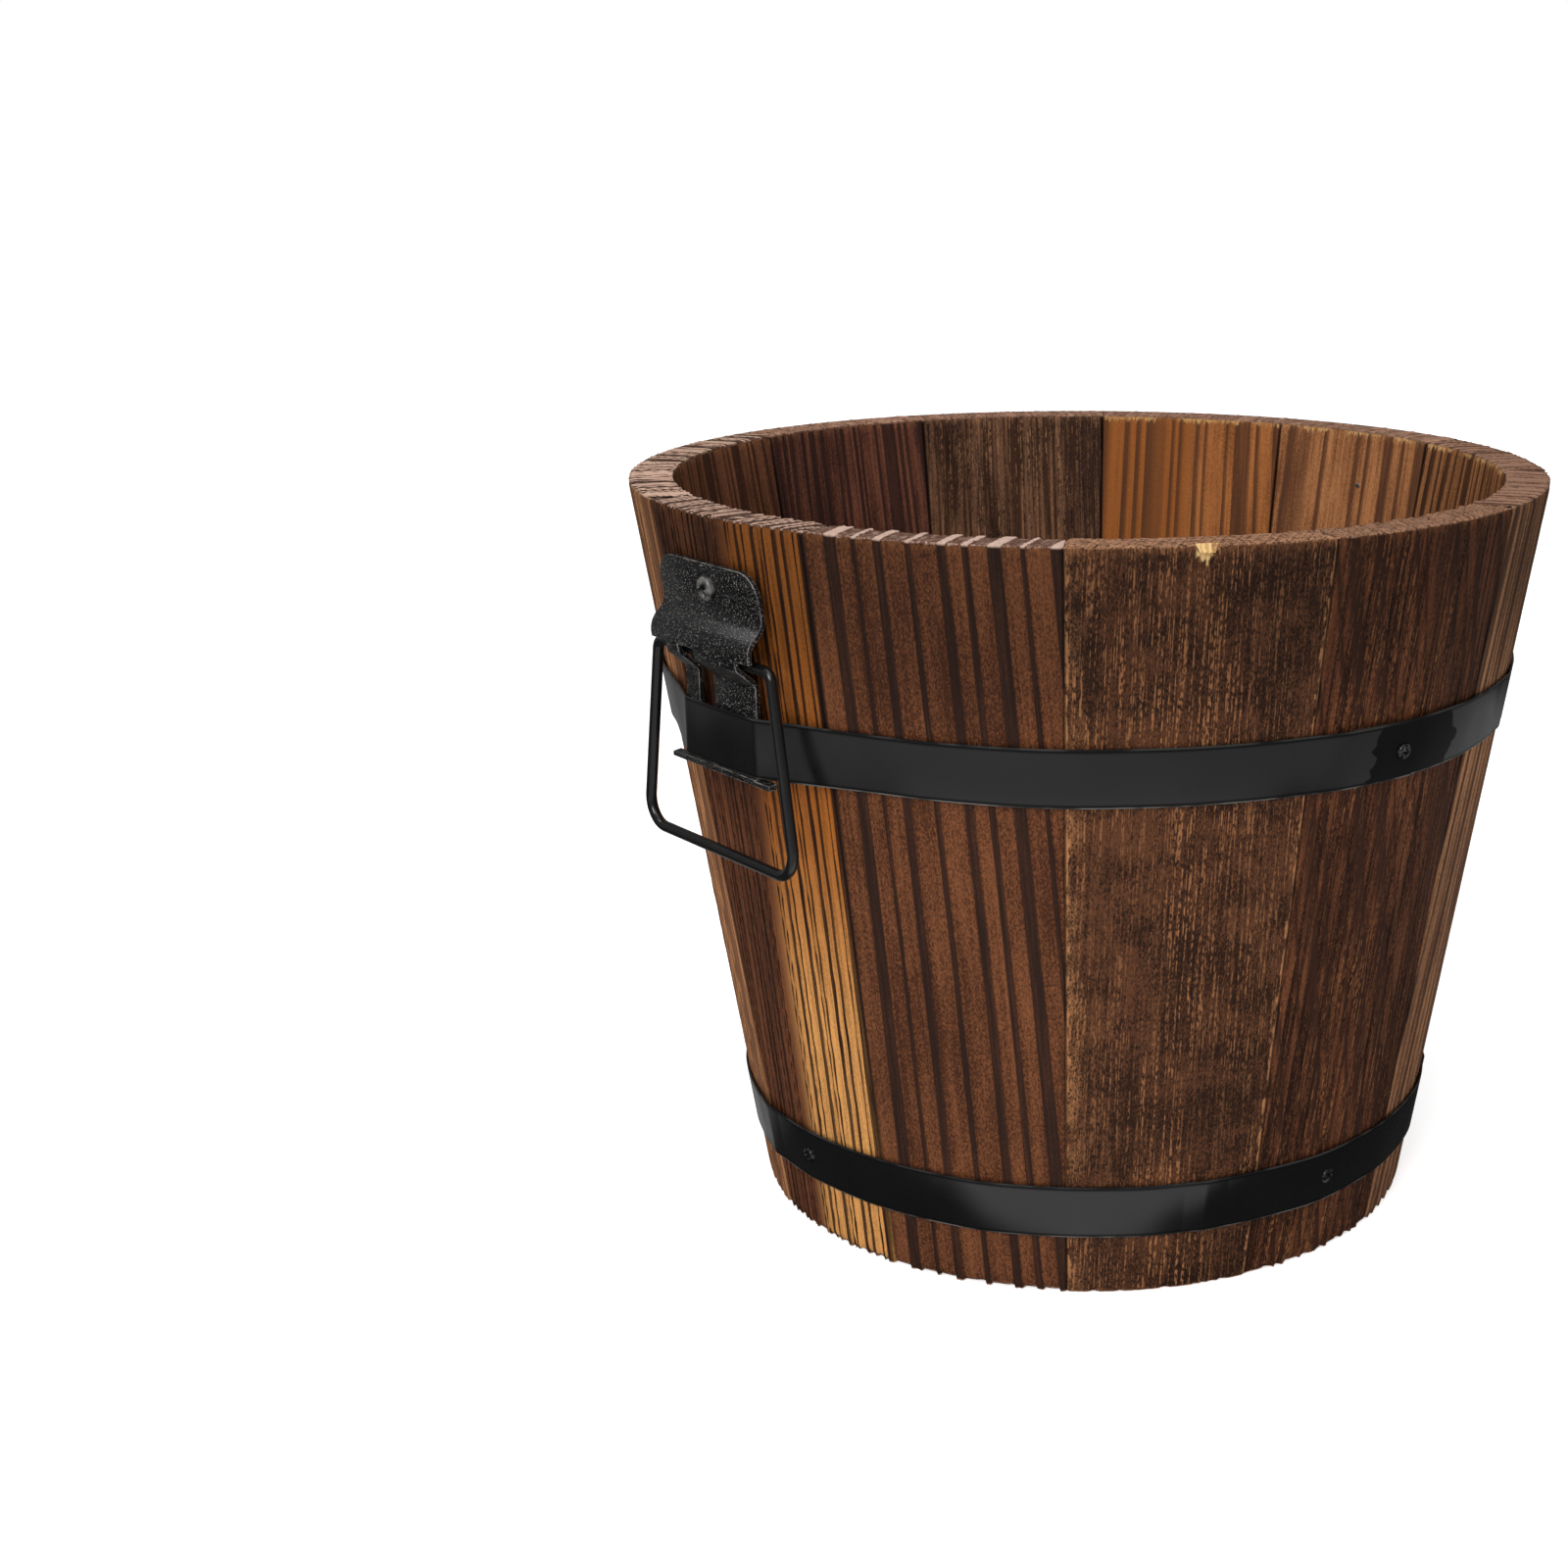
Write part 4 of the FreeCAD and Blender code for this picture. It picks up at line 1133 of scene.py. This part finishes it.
def hoop(node, height, screw_turn, front, kinks, seed):
    """One hoop, its lap ending just past a screw at a turn in degrees."""
    radius = wall_radius(height) + HOOP_GAP + HOOP_THICK / 2
    piece = make(
        "steel_" + node,
        hoop_tree,
        **{
            "Radius": radius,
            "Height": height,
            "Start": math.radians(screw_turn) - (LAP_LENGTH - LAP_PAST_SCREW) / radius,
            "Lap": LAP_LENGTH / radius,
            "Front": front,
            "Seed": seed,
            "Kink One": math.radians(kinks[0]),
            "Kink Two": math.radians(kinks[1]),
            "Kink Three": math.radians(kinks[2]),
        },
    )
    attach(piece, "pot")
    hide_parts(node)
    print(piece.name, "volume", round(volume(piece) * 1e6, 2), "cubic cm")


hoop("upper_hoop", UPPER_RISE, 270.0, BULGE_FRONT, (120.0, 60.0, 300.0), 5.0)
hoop("lower_hoop", LOWER_RISE, 90.0, NO_BULGE, (168.0, 247.5, 313.0), 9.0)

# %% [markdown]
# The handles' brackets are stamped from sheet steel and powder coated, so they carry a fine
# speckle, and the coat is rubbed thin on their cut edges. Fine noise gives the speckle, both as
# bump and as pale specks in the colour, which are painted glints for the coat's sparkle. The
# rubbed edges are found by a mark that the bracket's mesh will carry.

# %% Powder coat
COAT_BLACK = colour(6, 6, 7)
# pale specks of the coat, painted bright as glints
COAT_GLINT_SPECKS = colour(118, 115, 111)
COAT_RUBBED = colour(128, 125, 121)
coat, tree, shader = new_material("powder_coat", 0.34)
place = named(tree, "ShaderNodeTexCoord", out=3)
grit = noise(tree, place, (2300.0, 2300.0, 2300.0), 1.0, 1.0, 0.6)
# black coat with pale specks that are painted glints
tint = mix(tree, ease(tree, grit, 0.6, 0.71), COAT_BLACK, COAT_GLINT_SPECKS)
cut = named(tree, "ShaderNodeAttribute", out=2, settings={"attribute_name": "edge"})
rubbed = ease(tree, noise(tree, place, (260.0, 260.0, 260.0), 6.0), 0.35, 0.65, 0.05, 0.7)
rubbed = calc(tree, "MULTIPLY", cut, rubbed)
feed(tree, shader.inputs["Base Color"], mix(tree, rubbed, tint, COAT_RUBBED))
bump = named(tree, "ShaderNodeBump", Strength=0.5, Distance=0.2 * MM, Height=grit)
feed(tree, shader.inputs["Normal"], bump)
print("powder coat has", len(tree.nodes), "nodes")

# %% [markdown]
# The bails are bent from round wire and dipped in glossy paint, which ran down a little before it
# was dry. Noise stretched along the height gives those runs, in a tone and in a bump that are both
# so weak that they show in the shine alone.

# %% Wire paint
gloss, tree, shader = new_material("wire_paint", 0.25)
place = named(tree, "ShaderNodeTexCoord", out=3)
smear = noise(tree, place, (300.0, 300.0, 60.0), 1.0, 3.0)
feed(tree, shader.inputs["Base Color"], mix(tree, smear, colour(8, 8, 9), colour(18, 18, 19)))
bump = named(tree, "ShaderNodeBump", Strength=0.3, Distance=0.2 * MM, Height=smear)
feed(tree, shader.inputs["Normal"], bump)
print("wire paint has", len(tree.nodes), "nodes")

# %% [markdown]
# Brackets and bails keep their CAD shape, and only the bracket has cut edges. A Bevel modifier
# could round them. Here a copy of the CAD mesh is merged into one skin, its flat triangles are
# joined, and its sharp folds are rounded in one go, because the new faces can then be marked for
# the coat. Wire has no cut edges, so a bail is merged and shaded smooth alone.

# %% Round the cut edges
SAME_PLACE = 1e-6
FLAT_FOLD = math.radians(0.5)
SHARP_FOLD = math.radians(40)
ROUND_STEPS = 2


def folds(work):
    """The edges of a skin that fold sharply."""
    joined = [edge for edge in work.edges if len(edge.link_faces) == 2]
    return [edge for edge in joined if edge.calc_face_angle() > SHARP_FOLD]


def softened(name, node, width):
    """A copy of a CAD node's shape with its sharp edges rounded by a width, as a plain mesh."""
    work = bmesh.new()
    work.from_mesh(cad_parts[node].data)
    bmesh.ops.remove_doubles(work, verts=work.verts, dist=SAME_PLACE)
    bmesh.ops.dissolve_limit(work, angle_limit=FLAT_FOLD, verts=work.verts, edges=work.edges)
    cut = work.faces.layers.float.new("edge")
    if width:
        rounded = bmesh.ops.bevel(
            work,
            geom=folds(work),
            offset=width,
            segments=ROUND_STEPS,
            profile=0.5,
            affect="EDGES",
            clamp_overlap=True,
        )
        for face in rounded["faces"]:
            face[cut] = 1.0
    mesh = bpy.data.meshes.new(name)
    work.to_mesh(mesh)
    work.free()
    mesh.shade_smooth()
    piece = bpy.data.objects.new(name, mesh)
    bpy.context.scene.collection.objects.link(piece)
    return piece


for side in ("left", "right"):
    for node, body, material, slot, width in (
        (side + "_bracket", "pot", coat, "bracket_sheet", 0.25 * MM),
        (side + "_bail", side + "_handle", gloss, "bail_wire", 0.0),
    ):
        piece = softened("black_" + node, node, width)
        piece.data.materials.append(material)
        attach(piece, body)
        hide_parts(node)
        print(piece.name, "volume", round(volume(piece) * 1e9, 1), "cubic mm")

# %% [markdown]
# The screws are black, and a driver and many hands have rubbed their heads grey in spots. It is
# the same paint twice, once for the hoops' small screws and once, more worn, for the brackets',
# so one loop makes both from two rows of values.

# %% Paint of the screws
screw_coats = {}
for name, dark, bare, low, high in (
    ("screw_black", (8, 8, 9), (70, 68, 66), 0.5, 0.8),
    ("screw_worn", (14, 14, 15), (92, 90, 87), 0.35, 0.75),
):
    screw_coats[name], tree, shader = new_material(name, 0.25)
    place = named(tree, "ShaderNodeTexCoord", out=3)
    rubbed = ease(tree, noise(tree, place, (420.0, 420.0, 420.0), 1.0, 1.0), low, high)
    feed(tree, shader.inputs["Base Color"], mix(tree, rubbed, colour(*dark), colour(*bare)))
print("paints for screws:", ", ".join(screw_coats))

# %% [markdown]
# They are wood screws with pan heads and a cross recess. A lathe turns the head and the shank from
# one outline, and a punch strikes the recess. The tree does the same: it sweeps the outline round
# and sinks a cross into the dome. A Boolean could cut the cross too, but it would leave long thin
# faces that shade badly.

# %% Turn and punch a screw
TURNING = 0.001
SCREW_FOLD = 0.9
ABOVE_SEAT = 0.02 * MM
screw_tree, given = new_tree(
    "screw",
    **{
        "Section": "",
        "Count": 1,
        "First": 0.0,
        "Step": 0.0,
        "Radius": 0.12,
        "Height": 0.15,
        "Seat": 0.0,
        "Arm": 0.001,
        "Slot": 0.0003,
        "Recess": 0.0006,
    },
)
tree = screw_tree
shape = named(tree, "GeometryNodeObjectInfo", out=4, Object=given["Section"])
path = named(tree, "GeometryNodeCurvePrimitiveCircle", Resolution=72, Radius=TURNING)
path = named(tree, "GeometryNodeSetCurveNormal", settings={"mode": "Z_UP"}, Curve=path)
turned = named(tree, "GeometryNodeCurveToMesh", Curve=path, Profile_Curve=shape)
turned = named(tree, "GeometryNodeMergeByDistance", Geometry=turned, Distance=SAME_PLACE)
sx, sy, sz = split(tree, named(tree, "GeometryNodeInputPosition"))
sx = calc(tree, "ABSOLUTE", sx)
sy = calc(tree, "ABSOLUTE", sy)
slim = calc(tree, "MINIMUM", sx, sy)
long = calc(tree, "MAXIMUM", sx, sy)
wide = calc(tree, "MULTIPLY", given["Slot"], 1.5)
slot = ease(tree, slim, given["Slot"], wide, 1.0, 0.0)
arm = ease(tree, long, given["Slot"], given["Arm"], 1.0, 0.0)
cross = calc(tree, "MULTIPLY", slot, arm)
cross = calc(tree, "MULTIPLY", cross, calc(tree, "GREATER_THAN", sz, ABOVE_SEAT))
deep = calc(tree, "MULTIPLY", calc(tree, "MULTIPLY", cross, given["Recess"]), -1.0)
sunk = add(tree, "ShaderNodeCombineXYZ", 0.0, 0.0, deep)
punched = named(tree, "GeometryNodeSetPosition", Geometry=turned, Offset=sunk)
punched = shaded(tree, punched, SCREW_FOLD)
print("screw tree has", len(screw_tree.nodes), "nodes so far")

# %% [markdown]
# A screw stands square to the leaning wall, and no two heads stop at the same turn. Points are set
# round the wall, one for each screw, and the turned screw is placed on every point.

# %% Set the screws round the wall
index = named(tree, "GeometryNodeInputIndex")
turn = calc(tree, "MULTIPLY_ADD", index, given["Step"], given["First"])
seat = calc(tree, "MULTIPLY", given["Seat"], math.cos(TAPER))
far = calc(tree, "ADD", given["Radius"], seat)
up = calc(tree, "SUBTRACT", given["Height"], calc(tree, "MULTIPLY", given["Seat"], math.sin(TAPER)))
far_x = calc(tree, "MULTIPLY", calc(tree, "COSINE", turn), far)
far_y = calc(tree, "MULTIPLY", calc(tree, "SINE", turn), far)
spot = add(tree, "ShaderNodeCombineXYZ", far_x, far_y, up)
points = named(tree, "GeometryNodePoints", Count=given["Count"], Position=spot)
aim = add(tree, "ShaderNodeCombineXYZ", 0.0, math.pi / 2 + TAPER, turn)
spin = add(tree, "ShaderNodeCombineXYZ", 0.0, 0.0, calc(tree, "MULTIPLY_ADD", index, 1.1, 0.5))
facing = named(
    tree,
    "FunctionNodeRotateRotation",
    settings={"rotation_space": "LOCAL"},
    Rotation=named(tree, "FunctionNodeEulerToRotation", Euler=aim),
    Rotate_By=named(tree, "FunctionNodeEulerToRotation", Euler=spin),
)
placed = named(tree, "GeometryNodeInstanceOnPoints", Points=points, Instance=punched, Rotation=facing)
finish_tree(tree, placed, screw_coats["screw_black"])
print("screw tree has", len(screw_tree.nodes), "nodes")

# %% [markdown]
# Two sizes are needed: small screws for the hoops, and larger ones for the brackets, whose heads
# are worn because a hand meets them. A size is the head's width and height, then the shank's
# width and length.

# %% Make the screws
SMALL = (4.4 * MM, 1.5 * MM, 2.4 * MM, 10 * MM)
LARGE = (6.7 * MM, 2.3 * MM, 3.4 * MM, 15.2 * MM)
HEAD_RIM = 0.35
DOME_STEPS = 26
POINT_LENGTH = 1.2
BRACKET_RISE = 192 * MM
BRACKET_SEAT = 1.4 * MM
ONE_LAYER = HOOP_GAP + HOOP_THICK


def screw_outline(head, high, shank, length):
    """Half outline of a screw as (radius, height above its seat), from the dome's middle to the point."""
    rim = high * HEAD_RIM
    turns = steps(0, math.pi / 2, DOME_STEPS)
    dome = [(head / 2 * math.sin(turn), rim + (high - rim) * math.cos(turn)) for turn in turns]
    point = POINT_LENGTH * shank - length
    return dome + [(head / 2, rim), (head / 2, 0.0), (shank / 2, 0.0), (shank / 2, point), (0.0, -length)]


def screws(node, count, first, step, height, seat, size, paint="screw_black"):
    """Screws of one size standing on the wall at a height."""
    head, high, shank, length = size
    points = screw_outline(head, high, shank, length)
    section = outline(node + "_section", [(radius - TURNING, -z) for radius, z in points])
    section.data.splines[0].use_cyclic_u = False
    piece = make(
        "turned_" + node,
        screw_tree,
        Section=section,
        Count=count,
        First=math.radians(first),
        Step=math.radians(step),
        Radius=wall_radius(height),
        Height=height,
        Seat=seat,
        Arm=head * 0.36,
        Slot=head * 0.065,
        Recess=high * 0.55,
    )
    bpy.data.objects.remove(section)
    piece.data.materials[0] = screw_coats[paint]
    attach(piece, "pot")
    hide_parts(node)
    print(piece.name, "volume", round(volume(piece) * 1e9, 1), "cubic mm")


screws("upper_hoop_screws", 2, 90.0, 180.0, UPPER_RISE, 2 * ONE_LAYER, SMALL)
screws("lower_hoop_screws", 4, 0.0, 90.0, LOWER_RISE, ONE_LAYER, SMALL)
screws("right_bracket_screw", 1, 0.0, 0.0, BRACKET_RISE, BRACKET_SEAT, LARGE, "screw_worn")
screws("left_bracket_screw", 1, 180.0, 0.0, BRACKET_RISE, BRACKET_SEAT, LARGE, "screw_worn")

# %% [markdown]
# The pot stands on a white floor that keeps its soft shadow. Black gloss shows what lies round it,
# so the floor answers the hoops' reflections in zones: pale in front and beside the pot, where the
# straps shine, and dark elsewhere. To the eye, and as a source of light, it is white all over.

# %% White floor
WIDE = 6.0
FORWARD = (-0.66, -0.751, 0.0)
RIGHTWARD = (0.751, -0.66, 0.0)
WHITE = (1.0, 1.0, 1.0, 1.0)
PALE = (0.9, 0.9, 0.9, 1.0)
NEAR_BLACK = (0.03, 0.03, 0.03, 1.0)
floor_mesh = bpy.data.meshes.new("floor")
floor_corners = [(-WIDE, -WIDE, 0), (WIDE, -WIDE, 0), (WIDE, WIDE, 0), (-WIDE, WIDE, 0)]
floor_mesh.from_pydata(floor_corners, [], [(0, 1, 2, 3)])
floor = bpy.data.objects.new("floor", floor_mesh)
bpy.context.scene.collection.objects.link(floor)
pale, tree, shader = new_material("pale_floor", 0.9)
shader.inputs["Base Color"].default_value = PALE
shader.inputs["Specular IOR Level"].default_value = 0.0
shader.inputs["Emission Color"].default_value = WHITE
place = named(tree, "ShaderNodeTexCoord", out=3)
ahead = vector(tree, "DOT_PRODUCT", place, FORWARD, out=1)
right = vector(tree, "DOT_PRODUCT", place, RIGHTWARD, out=1)
far = vector(tree, "LENGTH", place, out=1)
front = calc(tree, "MULTIPLY_ADD", calc(tree, "ABSOLUTE", right), -0.45, ahead)
ripple = calc(tree, "SUBTRACT", noise(tree, place, (28.0, 28.0, 28.0), 3.0, 1.0), 0.5)
front = calc(tree, "MULTIPLY_ADD", ripple, 0.02, front)
lit = calc(tree, "MULTIPLY", ease(tree, front, 0.088, 0.112), ease(tree, right, 0.02, 0.25, 1.0, 0.82))
side = calc(tree, "MULTIPLY", ease(tree, right, 0.19, 0.24, 0.0, 0.6), ease(tree, ahead, -0.45, -0.33))
lit = calc(tree, "MAXIMUM", lit, side)
beside = calc(tree, "MULTIPLY", ease(tree, right, -0.09, -0.11, 0.0, 0.35), ease(tree, ahead, 0.03, 0.012))
lit = calc(tree, "MAXIMUM", lit, calc(tree, "MULTIPLY", beside, ease(tree, far, 0.2, 0.28, 1.0, 0.0)))
behind = calc(tree, "MULTIPLY", ease(tree, right, -0.1, -0.2), ease(tree, ahead, -0.1, -0.3, 0.0, 0.45))
lit = calc(tree, "MAXIMUM", lit, behind)
lit = calc(tree, "MULTIPLY", lit, ease(tree, far, 0.15, 0.3, 0.85, 0.38))
rays = tree.nodes.new("ShaderNodeLightPath")
dim = calc(tree, "MULTIPLY", calc(tree, "SUBTRACT", 1.0, lit), rays.outputs["Is Glossy Ray"])
glow = calc(tree, "MULTIPLY_ADD", rays.outputs["Is Camera Ray"], 0.2, 0.33)
feed(tree, shader.inputs["Emission Strength"], glow)
card = tree.nodes.new("ShaderNodeEmission")
card.inputs["Color"].default_value = NEAR_BLACK
both = tree.nodes.new("ShaderNodeMixShader")
feed(tree, both.inputs[0], dim)
feed(tree, both.inputs[1], shader.outputs[0])
feed(tree, both.inputs[2], card.outputs[0])
feed(tree, tree.nodes["Material Output"].inputs["Surface"], both.outputs[0])
floor_mesh.materials.append(pale)
print("floor is", 2 * WIDE, "m wide")

# %% [markdown]
# Light comes from all round, as in a white studio, with one large soft lamp high on the left, as
# the bright inside of the right wall shows. A weaker one from above opens the shadows, and a third
# is only for the shine on the bracket's hood.

# %% Light
world = bpy.data.worlds.new("studio")
world.use_nodes = True
bpy.context.scene.world = world
tree = world.node_tree
back = tree.nodes["Background"]
back.inputs["Color"].default_value = WHITE
rays = tree.nodes.new("ShaderNodeLightPath")
strength = calc(tree, "MULTIPLY_ADD", rays.outputs["Is Camera Ray"], 0.42, 0.58)
strength = calc(tree, "MULTIPLY_ADD", rays.outputs["Is Glossy Ray"], -0.4, strength)
feed(tree, back.inputs["Strength"], strength)


def lamp(name, place, aim, size, power):
    """A square soft lamp turned towards a point."""
    data = bpy.data.lights.new(name, "AREA")
    data.size = size
    data.energy = power
    piece = bpy.data.objects.new(name, data)
    piece.location = place
    piece.rotation_euler = (Vector(aim) - Vector(place)).to_track_quat("-Z", "Y").to_euler()
    bpy.context.scene.collection.objects.link(piece)
    return piece


lamp("key", (-1.9, -1.0, 1.7), (0, 0, 0.1), 1.2, 40)
lamp("top", (-0.3, -0.5, 2.2), (0, 0, 0.1), 1.6, 14)
sheen = lamp("sheen", (-1.0, 1.05, 1.75), (-0.13, 0, 0.19), 0.7, 6)
sheen.visible_diffuse = False
bpy.context.scene.view_settings.view_transform = "Standard"
print("lamps in the studio:", len(bpy.data.lights))
